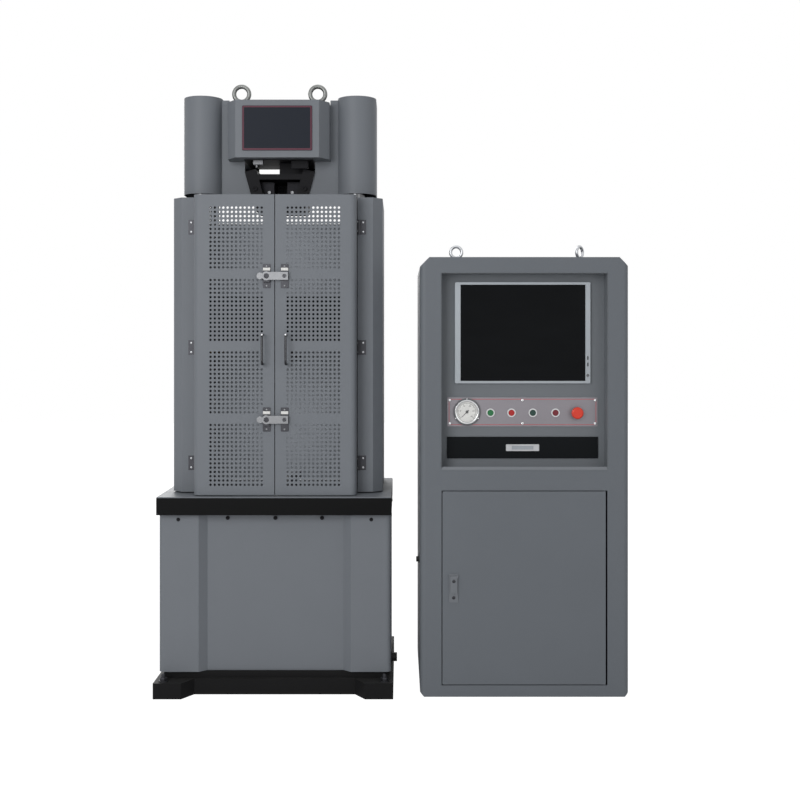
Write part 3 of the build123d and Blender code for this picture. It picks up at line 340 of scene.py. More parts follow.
def addPiece(name, mesh, finish, body, slotName, *hidden):
    piece = stand(name, mesh)
    mesh.materials.clear()
    mesh.materials.append(finishes[finish])
    mesh.shade_smooth()
    mesh.set_sharp_from_angle(angle=smoothAngle)
    if hidden:
        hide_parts(*hidden)
    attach(piece, body)


def addWork(name, work, finish, body, slotName, *hidden):
    addPiece(name, toMesh(name, work), finish, body, slotName, *hidden)


def turned(work, profile, sides, place=Matrix()):
    # a closed turned form from (radius, height) pairs that start and end on the axis
    rings = []
    for radius, height in profile:
        count = sides if radius > 0 else 1
        angles = [2 * pi * k / count for k in range(count)]
        points = [Vector((radius * cos(a), radius * sin(a), height)) for a in angles]
        rings.append([work.verts.new(place @ point) for point in points])
    for low, high in zip(rings, rings[1:]):
        for k in range(sides):
            after = k + 1
            corners = (low[k % len(low)], low[after % len(low)], high[after % len(high)], high[k % len(high)])
            work.faces.new(list(dict.fromkeys(corners)))


def hoop(work, profile, sides, place=Matrix()):
    # a ring whose closed section is given as (radius, height) pairs
    rings = []
    for k in range(sides):
        a = 2 * pi * k / sides
        rings.append([work.verts.new(place @ Vector((r * cos(a), r * sin(a), h))) for r, h in profile])
    for near, far in zip(rings, rings[1:] + rings[:1]):
        for k in range(len(profile)):
            after = (k + 1) % len(profile)
            work.faces.new((near[k], near[after], far[after], far[k]))


def roundedOutline(width, height, corner, steps=5):
    points = []
    for across, up, start in ((1, 1, 0), (-1, 1, 90), (-1, -1, 180), (1, -1, 270)):
        for k in range(steps + 1):
            a = radians(start + 90 * k / steps)
            x = across * (width / 2 - corner) + corner * cos(a)
            points.append((x, up * (height / 2 - corner) + corner * sin(a)))
    return points


def joinLoops(work, loops):
    for low, high in zip(loops, loops[1:]):
        for k in range(len(low)):
            after = (k + 1) % len(low)
            work.faces.new((low[k], low[after], high[after], high[k]))


def closeLoops(work, loops):
    # joined loops with a face on either end
    joinLoops(work, loops)
    work.faces.new(loops[0])
    work.faces.new(loops[-1])


def slab(work, look, place, **own):
    # a plate with rounded corners and a bevelled front edge; sizes given by name go before those of the dict
    size = {**look, **own}
    thick, edge = size["thick"], size["edge"]
    loops = []
    for inset, depth in ((0, 0), (0, thick - edge), (edge, thick)):
        outline = roundedOutline(size["width"] - 2 * inset, size["height"] - 2 * inset, size["corner"] - inset)
        loops.append([work.verts.new(place @ Vector((x, y, depth))) for x, y in outline])
    closeLoops(work, loops)


# Node trees for what repeats
class Maker(Graph):
    # a Geometry Nodes tree with named inputs, ending in Realize Instances and Set Material
    family = "GeometryNode"

    def __init__(self, name, sockets):
        super().__init__(bpy.data.node_groups.new(name, "GeometryNodeTree"))
        face = self.tree.interface
        face.new_socket("Geometry", in_out="INPUT", socket_type="NodeSocketGeometry")
        face.new_socket("Geometry", in_out="OUTPUT", socket_type="NodeSocketGeometry")
        self.keys = {}
        for label, kind in {**sockets, "Finish": "Material"}.items():
            made = face.new_socket(label, in_out="INPUT", socket_type="NodeSocket" + kind)
            self.keys[label] = made.identifier
        self.entry = self.tree.nodes.new("NodeGroupInput")

    def get(self, label):
        return Sock(self, self.entry.outputs[label])

    def close(self, geometry):
        whole = self.add("RealizeInstances", {"Geometry": geometry})
        painted = self.add("SetMaterial", {"Geometry": whole, "Material": self.get("Finish")})
        end = self.tree.nodes.new("NodeGroupOutput")
        self.feed(end.inputs[0], painted)

    def make(self, name, source, finish, values):
        holder = stand(name, source)
        modifier = holder.modifiers.new(name, "NODES")
        modifier.node_group = self.tree
        for label, value in {**values, "Finish": finishes[finish]}.items():
            modifier[self.keys[label]] = value
        return bake(holder)


# Sets one small shape on many spots, each with its own turn
setter = Maker("spotSetter", {"Shape": "Object", "Size": "Float"})
shapeInfo = setter.add("ObjectInfo", {0: setter.get("Shape")}, output="Geometry")
spotTurn = setter.add("InputNamedAttribute", {"Name": "turn"}, {"data_type": "FLOAT_VECTOR"})
spotTurn = setter.add("FunctionNodeEulerToRotation", {0: spotTurn})
setter.close(setter.add("InstanceOnPoints", {
    "Points": setter.get("Geometry"),
    "Instance": shapeInfo,
    "Rotation": spotTurn,
    "Scale": setter.get("Size"),
}))


def setOnSpots(name, shape, spots, finish, body, slotName, size=1.0):
    # spots are matrices from seat()
    cloud = bpy.data.meshes.new(name + "Spots")
    cloud.from_pydata([spot.to_translation() for spot in spots], [], [])
    turns = cloud.attributes.new("turn", "FLOAT_VECTOR", "POINT")
    for k, spot in enumerate(spots):
        turns.data[k].vector = spot.to_euler()
    master = stand(name + "Shape", shape)
    mesh = setter.make(name, cloud, finish, {"Shape": master, "Size": size})
    bpy.data.objects.remove(master)
    addPiece(name, mesh, finish, body, slotName)


# A flat sheet with round holes at the points it is given
puncher = Maker("sheetPuncher", {"Width": "Float", "Height": "Float", "Hole": "Float", "Sheet": "Float",
                                 "Sides": "Int"})
holeRing = puncher.add("CurvePrimitiveCircle", {
    "Resolution": puncher.get("Sides"),
    "Radius": puncher.get("Hole") * 0.5,
})
holeRings = puncher.add("InstanceOnPoints", {
    "Points": puncher.get("Geometry"),
    "Instance": holeRing,
})
holeRings = puncher.add("RealizeInstances", {"Geometry": holeRings})
sheetEdge = puncher.add("CurvePrimitiveQuadrilateral", {
    "Width": puncher.get("Width"),
    "Height": puncher.get("Height"),
})
sheetLines = puncher.add("JoinGeometry", {"Geometry": [holeRings, sheetEdge]})
sheetFace = puncher.add("FillCurve", {"Curve": sheetLines})
sheetFront = puncher.add("ExtrudeMesh", {
    "Mesh": sheetFace,
    "Offset": (0, 0, 1),
    "Offset Scale": puncher.get("Sheet"),
    "Individual": False,
})
sheetBack = puncher.add("FlipFaces", {"Mesh": sheetFace})
sheetWhole = puncher.add("JoinGeometry", {"Geometry": [sheetFront, sheetBack]})
puncher.close(puncher.add("MergeByDistance", {"Geometry": sheetWhole, "Distance": 1e-5}))

# A helical thread ridge round the Z axis
winder = Maker("threadWinder", {"Radius": "Float", "Height": "Float", "Turns": "Float", "Ridge": "Float",
                                "Depth": "Float", "Sides": "Int"})
helix = winder.add("CurveSpiral", {
    "Resolution": winder.get("Sides"),
    "Rotations": winder.get("Turns"),
    "Start Radius": winder.get("Radius"),
    "End Radius": winder.get("Radius"),
    "Height": winder.get("Height"),
})
helix = winder.add("SetCurveNormal", {"Curve": helix}, {"mode": "Z_UP"})
ridge = winder.add("CurvePrimitiveQuadrilateral", {
    "Width": winder.get("Depth"),
    "Height": winder.get("Ridge"),
}, {"mode": "RECTANGLE"})
winder.close(winder.add("CurveToMesh", {
    "Curve": helix,
    "Profile Curve": ridge,
    "Fill Caps": True,
}))
print("node trees ready")

# Guard doors: a perforated front sheet, a rounded outer bend with a deep return, and a lip at the centre
guardDoor = {
    "sheet": 0.0025,
    "corner": 0.02,
    "lip": 0.012,
    "hole": 0.0088,
    "holeSides": 14,
    "pitch": 0.0153,
    "columns": 13,
    "rows": 15,
    "blocks": 4,
    "blockGap": 0.0455,
    "topRow": 0.0475,
    "firstColumn": 0.0465,
    "bendSteps": 8,
    "latchClear": 0.046,
    "handleClear": 0.065,
}
handleHeight = sum(corner[2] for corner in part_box("left_door_handle")) / 2
latchHeights = [sum(corner[2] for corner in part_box(bar)) / 2 for bar in ("lower_latch_bar", "upper_latch_bar")]


def doorHoles(top):
    # hole centres as (distance from the middle, height), left out beside latches and handle
    look = guardDoor
    spots = []
    blockStep = (look["rows"] - 1) * look["pitch"] + look["blockGap"]
    for block in range(look["blocks"]):
        for row in range(look["rows"]):
            z = top - look["topRow"] - block * blockStep - row * look["pitch"]
            nearHandle = abs(z - handleHeight) < look["handleClear"]
            nearLatch = min(abs(z - height) for height in latchHeights) < look["latchClear"]
            first = 1 if nearHandle or nearLatch else 0
            spots += [(look["firstColumn"] + k * look["pitch"], z) for k in range(first, look["columns"])]
    return spots


def makeDoor(side, sign):
    look = guardDoor
    low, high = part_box("guard_door_" + side)
    front, back, floor, top = low[1], high[1], low[2], high[2]
    inner = min(abs(low[0]), abs(high[0]))
    outer = max(abs(low[0]), abs(high[0]))
    sheet, corner = look["sheet"], look["corner"]
    flatEnd = outer - corner
    middle = ((inner + flatEnd) / 2, (floor + top) / 2)
    cloud = bpy.data.meshes.new("doorHoles")
    cloud.from_pydata([(sign * (x - middle[0]), z - middle[1], 0) for x, z in doorHoles(top)], [], [])
    mesh = puncher.make("doorSheet", cloud, "frameGrey", {
        "Width": flatEnd - inner,
        "Height": top - floor,
        "Hole": look["hole"],
        "Sheet": sheet,
        "Sides": look["holeSides"],
    })
    mesh.transform(seat("front", (sign * middle[0], front + sheet, middle[1])))
    work = bmesh.new()
    work.from_mesh(mesh)
    bend = [radians(90 * k / look["bendSteps"]) for k in range(look["bendSteps"] + 1)]
    centre = (flatEnd, front + corner)
    outline = [(centre[0] + corner * sin(a), centre[1] - corner * cos(a)) for a in bend]
    outline += [(outer, back), (outer - sheet, back)]
    small = corner - sheet
    outline += [(centre[0] + small * sin(a), centre[1] - small * cos(a)) for a in reversed(bend)]
    lip = [(inner, front + sheet), (inner, front + look["lip"])]
    lip += [(inner + sheet, front + look["lip"]), (inner + sheet, front + sheet)]
    for section in (outline, lip):
        loops = [[work.verts.new((sign * x, y, z)) for x, y in section] for z in (floor, top)]
        closeLoops(work, loops)
    addWork(side + "PerforatedDoor", work, "frameGrey", side + "_door", "grey_paint", "guard_door_" + side)


for side, sign in sideSigns.items():
    makeDoor(side, sign)

# Door seal: a dark bead on the right door's lip that closes the slit between the two doors
seal = {"width": 0.0026, "x": 0.0002, "depth": 0.01, "thick": 0.004, "corner": 0.0005, "edge": 0.0003}
doorLow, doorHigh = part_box("guard_door_right")
work = bmesh.new()
slab(work, seal, seat("front", (seal["x"], doorLow.y + seal["depth"], (doorLow.z + doorHigh.z) / 2)),
     height=doorHigh.z - doorLow.z - seal["thick"])
addWork("doorSeal", work, "socketBlack", "right_door", "black_plastic")
print("perforated doors made")

# Small fasteners as master shapes: local +Z is out of the seat
fastener = {"panRadius": 0.0045, "panHeight": 0.0024, "panSides": 16, "boltRadius": 0.008, "boltHeight": 0.006,
            "washerRadius": 0.021, "washerHeight": 0.004, "nutRadius": 0.0165, "nutHeight": 0.014,
            "studRadius": 0.009, "studHeight": 0.014, "edge": 0.002}


def panScrew():
    # a domed head with a cross cut into it
    work = bmesh.new()
    r, h = fastener["panRadius"], fastener["panHeight"]
    sides = fastener["panSides"]
    rings = []
    for radius, height in ((r, 0), (r, 0.4 * h), (0.86 * r, 0.8 * h), (0.62 * r, h)):
        angles = [2 * pi * k / sides for k in range(sides)]
        rings.append([work.verts.new((radius * cos(a), radius * sin(a), height)) for a in angles])
    joinLoops(work, rings)
    work.faces.new(rings[0])
    arm, half = 0.42 * r, 0.12 * r
    quarter = ((arm, -half), (arm, half), (half, half))
    cross = [Matrix.Rotation(k * pi / 2, 2) @ Vector(point) for k in range(4) for point in quarter]
    rim = [work.verts.new((x, y, h)) for x, y in cross]
    pit = [work.verts.new((x, y, 0.35 * h)) for x, y in cross]
    rimEdges = [work.edges.new((rim[k], rim[(k + 1) % len(rim)])) for k in range(len(rim))]
    topEdges = [work.edges.get((rings[-1][k], rings[-1][(k + 1) % sides])) for k in range(sides)]
    bmesh.ops.triangle_fill(work, use_beauty=True, edges=topEdges + rimEdges)
    joinLoops(work, [rim, pit])
    work.faces.new(pit)
    return toMesh("panScrew", work)


def socketBolt():
    # a cylindrical head with a round-bottomed drive hole
    work = bmesh.new()
    r, h = fastener["boltRadius"], fastener["boltHeight"]
    rim = ((0, 0), (r, 0), (r, h * 0.88), (r * 0.9, h), (r * 0.5, h), (r * 0.5, h * 0.4), (0, h * 0.3))
    turned(work, rim, 18)
    return toMesh("socketBolt", work)


def levellingStud():
    work = bmesh.new()
    f = fastener
    edge = f["edge"]
    nutFloor = f["washerHeight"]
    nutTop = nutFloor + f["nutHeight"]
    studTop = nutTop + f["studHeight"]
    r, n, s = f["washerRadius"], f["nutRadius"], f["studRadius"]
    turned(work, ((0, 0), (r, 0), (r, nutFloor * 0.8), (r * 0.95, nutFloor), (0, nutFloor)), 28)
    turned(work, ((0, nutFloor), (n * 0.9, nutFloor), (n, nutFloor + edge), (n, nutTop - edge),
                  (n * 0.9, nutTop), (0, nutTop)), 6)
    turned(work, ((0, nutTop), (s, nutTop), (s, studTop - edge), (s * 0.8, studTop), (0, studTop)), 18)
    return toMesh("levellingStud", work)


def mirrored(*points):
    return [(sign * x, y, z) for x, y, z in points for sign in sideSigns.values()]


# Screws of the hinges and latch plates
hinge = {"heights": (0.821, 1.243, 1.683), "screwRise": 0.017, "leafWidth": 0.0215, "leafThick": 0.002,
         "pinDepth": 0.009}
latchPlate = {"x": {"left": -0.0285, "right": 0.036}, "thick": 0.003, "screwRise": 0.035}
hingeLow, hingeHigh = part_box("guard_hinges")
leafMiddle = hingeHigh.x - hinge["leafWidth"] / 2
leafFront = hingeLow.y + hinge["pinDepth"]
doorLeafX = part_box("guard_door_right")[1].x + hinge["leafThick"]
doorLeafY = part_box("right_door_hinges")[0].y + hinge["leafWidth"] / 2
screwHeights = [z + rise for z in hinge["heights"] for rise in (-hinge["screwRise"], hinge["screwRise"])]
spots = [seat("front", at, at[2] * 40) for at in mirrored(*[(leafMiddle, leafFront, z) for z in screwHeights])]
setOnSpots("hingeScrews", panScrew(), spots, "zinc", "lifting_frame", "plated_steel", 0.85)
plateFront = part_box("guard_door_left")[0].y - latchPlate["thick"]
for side, sign in sideSigns.items():
    spots = [seat(side, (sign * doorLeafX, doorLeafY, z), z * 50) for z in screwHeights]
    spots += [seat("front", (latchPlate["x"][side], plateFront, z + rise), z * 70)
              for z in latchHeights for rise in (-latchPlate["screwRise"], latchPlate["screwRise"])]
    setOnSpots(side + "DoorScrews", panScrew(), spots, "latchSteel", side + "_door", "plated_steel", 0.8)

# Latches: a white strip on each plate above the bar, and on each bar a boss and a ring round its pivot
latchWhiteStrip = {"width": 0.026, "height": 0.0105, "thick": 0.003, "rise": 0.0245, "corner": 0.0012, "edge": 0.0008}
for side in sideSigns:
    work = bmesh.new()
    for z in latchHeights:
        slab(work, latchWhiteStrip, seat("front", (latchPlate["x"][side], plateFront, z + latchWhiteStrip["rise"])))
    addWork(side + "LatchSpacers", work, "dialWhite", side + "_door", "monitor_silver")
latchBoss = {"radius": 0.0092, "rise": 0.003, "pivotInner": 0.0046, "pivotOuter": 0.0072, "pivotRise": 0.001,
             "pivotEdge": 0.0006}
for level, z in zip(("lower", "upper"), latchHeights):
    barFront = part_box(level + "_latch_bar")[0].y
    r, rise = latchBoss["radius"], latchBoss["rise"]
    work = bmesh.new()
    turned(work, ((0, 0), (r, 0), (r, rise * 0.6), (r * 0.8, rise), (r * 0.45, rise), (r * 0.4, rise * 0.5),
                  (0, rise * 0.5)), 32, seat("front", (latchPlate["x"]["left"], barFront, z)))
    inner, outer, rise = latchBoss["pivotInner"], latchBoss["pivotOuter"], latchBoss["pivotRise"]
    hoop(work, ((inner, 0), (outer, 0), (outer - latchBoss["pivotEdge"], rise), (inner, rise)), 32,
         seat("front", (latchPlate["x"]["right"], barFront, z)))
    addWork(level + "LatchBoss", work, "hingeDark", level + "_latch", "plated_steel")

# Door handles: a small polished ball on the upper bend
ball = {"radius": 0.0048, "rings": 10, "inset": 0.0042}
for side in sideSigns:
    low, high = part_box(side + "_door_handle")
    arc = [radians(180 * k / ball["rings"]) for k in range(1, ball["rings"])]
    profile = [(ball["radius"] * sin(a), -ball["radius"] * cos(a)) for a in arc]
    profile = [(0, -ball["radius"])] + profile + [(0, ball["radius"])]
    work = bmesh.new()
    turned(work, profile, 20,
           Matrix.Translation(((low.x + high.x) / 2, low.y + ball["inset"], high.z - ball["inset"])))
    addWork(side + "HandleBall", work, "chrome", side + "_door", "chrome")

# Housing screws
housing = {"stileX": 0.346, "screwZ": 0.6264, "recessX": (-0.172, 0, 0.168), "recessZ": 0.629, "sideY": 0.2,
           "sideZ": 0.633, "lowZ": 0.105, "recessDepth": 0.025}
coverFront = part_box("front_cover")[0].y
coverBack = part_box("rear_cover")[1].y
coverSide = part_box("front_cover")[1].x
recessFront = coverFront + housing["recessDepth"]
spots = [seat("front", at, 0.4) for at in mirrored((housing["stileX"], coverFront, housing["screwZ"]))]
spots += [seat("back", at, 0.7) for z in (housing["screwZ"], housing["lowZ"])
          for at in mirrored((housing["stileX"], coverBack, z))]
for side, sign in sideSigns.items():
    spots += [seat(side, (sign * coverSide, y, housing["sideZ"]), 0.2)
              for y in (-housing["sideY"], housing["sideY"])]
setOnSpots("housingScrews", panScrew(), spots, "gripBlack", "base", "black_paint", 1.5)
spots = [seat("front", (x, recessFront, housing["recessZ"])) for x in housing["recessX"]]
setOnSpots("housingBolts", socketBolt(), spots, "gripBlack", "base", "black_paint", 0.9)

# Screws of the control strip and the cabinet's back panel
strip = {"screwX": 0.263, "screwZ": 0.042, "lineInset": 0.0055, "lineWidth": 0.0022, "lineHeight": 0.0003,
         "corner": 0.003}
stripLow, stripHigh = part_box("control_strip")
stripMiddle = middle("control_strip")
stripFront = stripLow.y
spots = [seat("front", (stripMiddle.x + x, stripFront, stripMiddle.z + z), x * 9 + z * 50)
         for x in (-strip["screwX"], 0.0, strip["screwX"]) for z in (-strip["screwZ"], strip["screwZ"])]
setOnSpots("stripScrews", panScrew(), spots, "chrome", "base", "chrome", 1.1)
rearPanel = {"edge": 0.012, "columns": 3, "rows": 5}
panelLow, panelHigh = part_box("cabinet_back_panel")
rowStep = (panelHigh.z - panelLow.z - 2 * rearPanel["edge"]) / (rearPanel["rows"] - 1)
columnStep = (panelHigh.x - panelLow.x - 2 * rearPanel["edge"]) / (rearPanel["columns"] - 1)
spots = []
for row in range(rearPanel["rows"]):
    for column in range(rearPanel["columns"]):
        if row in (0, rearPanel["rows"] - 1) or column in (0, rearPanel["columns"] - 1):
            x = panelLow.x + rearPanel["edge"] + column * columnStep
            z = panelLow.z + rearPanel["edge"] + row * rowStep
            spots.append(seat("back", (x, panelHigh.y, z), row + column))
setOnSpots("backPanelScrews", panScrew(), spots, "zinc", "base", "plated_steel", 1.2)

# Levelling studs in the feet, and bolts of the upper grip
feet = {"x": 0.393, "y": 0.302, "top": 0.056}
spots = [seat("up", at, at[0] * 3) for y in (-feet["y"], feet["y"])
         for at in mirrored((feet["x"], y, feet["top"]))]
setOnSpots("levellingStuds", levellingStud(), spots, "hingeDark", "base", "plated_steel", 0.8)
gripBolts = {"cheekX": 0.0925, "cheekZ": 1.8355, "jawX": 0.043, "jawZ": 1.8262}
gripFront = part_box("upper_grip")[0].y
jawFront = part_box("upper_jaw_left")[0].y
spots = [seat("front", at, 0.3) for at in mirrored((gripBolts["cheekX"], gripFront, gripBolts["cheekZ"]))]
setOnSpots("cheekBolts", socketBolt(), spots, "gripBlack", "lifting_frame", "black_paint", 1.2)
for side, sign in sideSigns.items():
    spots = [seat("front", (sign * gripBolts["jawX"], jawFront, gripBolts["jawZ"]))]
    body = "upper_" + side + "_jaw"
    setOnSpots(side + "JawBolt", socketBolt(), spots, "latchSteel", body, "plated_steel", 0.75)
print("fasteners set")

# Jaw teeth: a row of ridges on each gripping face
teeth = {"pitch": 0.003, "rise": 0.0012, "length": 0.112, "margin": 0.004}


def toothRidge():
    work = bmesh.new()
    half = teeth["length"] / 2
    foot = teeth["pitch"] * 0.48
    section = ((-foot, 0), (foot, 0), (foot * 0.2, teeth["rise"]), (-foot * 0.2, teeth["rise"]))
    loops = [[work.verts.new((end, y, z)) for y, z in section] for end in (-half, half)]
    closeLoops(work, loops)
    return toMesh("toothRidge", work)


for level in ("upper", "lower"):
    for side, faces in (("left", "right"), ("right", "left")):
        low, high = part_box(level + "_jaw_" + side)
        faceX = high.x if side == "left" else low.x
        count = int((high.z - low.z - 2 * teeth["margin"]) / teeth["pitch"])
        first = low.z + teeth["margin"]
        spots = [seat(faces, (faceX, 0, first + k * teeth["pitch"])) for k in range(count + 1)]
        body = level + "_" + side + "_jaw"
        setOnSpots(level + side.title() + "Teeth", toothRidge(), spots, "jawBlack", body, "blackened_steel")
print("jaw teeth cut")

# Lead screws: journal, collar and core turned in one, with the thread wound on the core
leadScrew = {"journal": 0.02, "collar": 0.042, "collarFloor": 0.2103, "collarTop": 0.2253, "pitch": 0.012,
             "ridge": 0.0055, "depth": 0.0048, "sides": 28, "runOut": 0.006, "outer": 0.03, "lap": 0.0006,
             "edge": 0.002}
for side in sideSigns:
    low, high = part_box("lead_screw_" + side)
    axis = middle("lead_screw_" + side)
    outer, edge = leadScrew["outer"], leadScrew["edge"]
    core = outer - leadScrew["depth"] + leadScrew["lap"]
    work = bmesh.new()
    place = Matrix.Translation((axis.x, axis.y, 0))
    turned(work, (
        (0, low.z), (leadScrew["journal"], low.z), (leadScrew["journal"], leadScrew["collarFloor"]),
        (leadScrew["collar"], leadScrew["collarFloor"]), (leadScrew["collar"], leadScrew["collarTop"]),
        (core, leadScrew["collarTop"]), (core, high.z - edge), (core - edge, high.z), (0, high.z),
    ), 40, place)
    threadFloor = leadScrew["collarTop"] + leadScrew["runOut"]
    threadLength = high.z - leadScrew["runOut"] - threadFloor
    point = bpy.data.meshes.new("threadStart")
    thread = winder.make("thread", point, "screwSteel", {
        "Radius": outer - leadScrew["depth"] / 2,
        "Height": threadLength,
        "Turns": threadLength / leadScrew["pitch"],
        "Ridge": leadScrew["ridge"],
        "Depth": leadScrew["depth"],
        "Sides": leadScrew["sides"],
    })
    thread.transform(Matrix.Translation((axis.x, axis.y, threadFloor)))
    work.from_mesh(thread)
    addWork(side + "LeadScrew", work, "screwSteel", side + "_screw", "ground_steel", "lead_screw_" + side)
print("lead screws threaded")

# Bare name panel with a thin red border on the upper crosshead
namePanel = {"width": 0.256, "height": 0.164, "z": 2.045, "thick": 0.003, "corner": 0.004, "border": 0.0058,
             "borderFoot": 0.0068, "borderRise": 0.0006, "edge": 0.0008, "borderInset": 0.001}
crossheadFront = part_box("upper_crosshead")[0].y
work = bmesh.new()
slab(work, namePanel, seat("front", (0, crossheadFront, namePanel["z"])))
addWork("namePanel", work, "panelNavy", "lifting_frame", "black_plastic")


def frameLine(work, width, height, line, foot, rise, corner, place):
    # a raised rectangular line, wider along its foot
    outlines = (
        (roundedOutline(width, height, corner), 0), (roundedOutline(width, height, corner), rise),
        (roundedOutline(width - 2 * line, height - line - foot, corner * 0.6), rise),
        (roundedOutline(width - 2 * line, height - line - foot, corner * 0.6), 0),
    )
    loops = []
    for k, (outline, depth) in enumerate(outlines):
        lift = (foot - line) / 2 if k > 1 else 0
        loops.append([work.verts.new(place @ Vector((x, y + lift, depth))) for x, y in outline])
    joinLoops(work, loops + loops[:1])


work = bmesh.new()
inset = 2 * namePanel["borderInset"]
frameLine(work, namePanel["width"] - inset, namePanel["height"] - inset, namePanel["border"],
          namePanel["borderFoot"], namePanel["borderRise"], namePanel["corner"],
          seat("front", (0, crossheadFront - namePanel["thick"], namePanel["z"])))
addWork("namePanelBorder", work, "borderRed", "lifting_frame", "red_cap")
work = bmesh.new()
inset = 2 * strip["lineInset"]
frameLine(work, stripHigh.x - stripLow.x - inset, stripHigh.z - stripLow.z - inset,
          strip["lineWidth"], strip["lineWidth"], strip["lineHeight"], strip["corner"],
          seat("front", (stripMiddle.x, stripFront, stripMiddle.z)))
addWork("stripBorder", work, "linePink", "base", "red_cap")
print("panels framed")

# Gauge: a bright ring, a white dial with marks and plain numbers, and a glass
gauge = {"dial": 0.0372, "pin": 0.0022, "dialSheet": 0.0005, "ringInner": 0.0376, "ringOuter": 0.0445,
         "ringRise": 0.0022, "ringEdge": 0.0012, "ringLand": 0.0035, "ringLip": 0.001,
         "markRadius": 0.0335, "sweep": 270, "marks": 40, "longEvery": 4, "numberEvery": 8,
         "numberRadius": 0.0235, "numberSize": 0.0078, "markWidth": 0.0011, "markLength": 0.0032,
         "ink": 0.00012, "glassGap": 0.0008, "glassThick": 0.0004, "dialDepth": 0.004, "screwRadius": 0.0468}
gaugeX, _, gaugeZ = middle("pressure_gauge")
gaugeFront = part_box("pressure_gauge")[0].y
dialBack = gaugeFront + gauge["dialDepth"]
dialFront = dialBack - gauge["dialSheet"]
work = bmesh.new()
hoop(work, ((gauge["pin"], 0), (gauge["dial"], 0), (gauge["dial"], gauge["dialSheet"]),
            (gauge["pin"], gauge["dialSheet"])), 48, seat("front", (gaugeX, dialBack, gaugeZ)))
addWork("gaugeDial", work, "dialWhite", "base", "monitor_silver")
work = bmesh.new()
rise = gauge["ringRise"]
inner, outer = gauge["ringInner"], gauge["ringOuter"]
hoop(work, ((inner, 0), (outer, 0), (outer - gauge["ringEdge"], rise * 0.8), (outer - gauge["ringLand"], rise),
            (inner + gauge["ringLip"], rise * 0.7)), 64, seat("front", (gaugeX, gaugeFront, gaugeZ)))
addWork("gaugeRing", work, "chrome", "base", "gauge_metal")
work = bmesh.new()
turned(work, ((0, 0), (gauge["dial"], 0), (gauge["dial"], gauge["glassThick"]), (0, gauge["glassThick"])), 48,
       seat("front", (gaugeX, gaugeFront + gauge["glassGap"], gaugeZ)))
addWork("gaugeGlass", work, "gaugeGlass", "base", "gauge_metal")


def dialMark(length):
    work = bmesh.new()
    mark = {"width": gauge["markWidth"], "thick": gauge["ink"], "corner": gauge["markWidth"] / 4,
            "edge": gauge["ink"] / 4}
    slab(work, mark, Matrix.Translation((0, -length / 2, 0)), height=length)
    return toMesh("dialMark", work)


def dialAngle(mark):
    # the scale runs clockwise from lower left to lower right
    return radians(gauge["sweep"] / 2 - gauge["sweep"] * mark / gauge["marks"])


def dialSpot(mark, radius):
    a = dialAngle(mark)
    return seat("front", (gaugeX - radius * sin(a), dialFront, gaugeZ + radius * cos(a)), a)


marks = range(gauge["marks"] + 1)
longMarks = [dialSpot(mark, gauge["markRadius"]) for mark in marks if mark % gauge["longEvery"] == 0]
shortMarks = [dialSpot(mark, gauge["markRadius"]) for mark in marks if mark % gauge["longEvery"]]
setOnSpots("dialLongMarks", dialMark(gauge["markLength"] * 1.7), longMarks, "markBlack", "base", "needle_black")
setOnSpots("dialShortMarks", dialMark(gauge["markLength"]), shortMarks, "markBlack", "base", "needle_black")
work = bmesh.new()
for mark in marks:
    if mark % gauge["numberEvery"] == 0:
        curve = bpy.data.curves.new("dialNumber", "FONT")
        curve.body = str(mark)
        curve.size = gauge["numberSize"]
        curve.align_x = "CENTER"
        curve.align_y = "CENTER"
        curve.extrude = gauge["ink"] / 2
        curve.resolution_u = 3
        digits = bake(stand("dialNumber", curve))
        a = dialAngle(mark)
        digits.transform(seat("front", (gaugeX - gauge["numberRadius"] * sin(a), dialFront - gauge["ink"] / 2,
                                        gaugeZ + gauge["numberRadius"] * cos(a))))
        work.from_mesh(digits)
addWork("dialNumbers", work, "markBlack", "base", "needle_black")
spots = []
for k in range(3):
    a = radians(90 + 120 * k)
    at = (gaugeX + gauge["screwRadius"] * cos(a), gaugeFront, gaugeZ + gauge["screwRadius"] * sin(a))
    spots.append(seat("front", at, a))
setOnSpots("gaugeScrews", panScrew(), spots, "chrome", "base", "plated_steel", 0.45)
print("gauge dial drawn")

# Monitor: two slots and a round switch on the right of the bezel
monitor = {"fromRight": 0.0092, "slotZ": (1.205, 1.1816), "switchZ": 1.142, "switchRadius": 0.0052}
monitorSlot = {"width": 0.0045, "height": 0.014, "thick": 0.0006, "corner": 0.002, "edge": 0.0003}
monitorLow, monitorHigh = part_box("monitor")
trimX = monitorHigh.x - monitor["fromRight"]
work = bmesh.new()
for z in monitor["slotZ"]:
    slab(work, monitorSlot, seat("front", (trimX, monitorLow.y, z)))
addWork("monitorSlots", work, "markBlack", "base", "black_plastic")
work = bmesh.new()
r = monitor["switchRadius"]
turned(work, ((0, 0), (r, 0), (r, 0.0008), (r * 0.86, 0.0014), (r * 0.7, 0.0009), (0, 0.0008)), 28,
       seat("front", (trimX, monitorLow.y, monitor["switchZ"])))
addWork("monitorSwitch", work, "gaugeSteel", "base", "monitor_silver")

# Drawer pull: a shallow cup behind the window
pull = {"width": 0.0776, "height": 0.0126, "thick": 0.0012, "corner": 0.001, "edge": 0.0004}
pullMiddle = middle("drawer_handle")
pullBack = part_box("drawer_handle")[1].y
work = bmesh.new()
slab(work, pull, seat("front", (pullMiddle.x, pullBack, pullMiddle.z)))
addWork("pullCup", work, "bezelSilver", "drawer", "plated_steel")
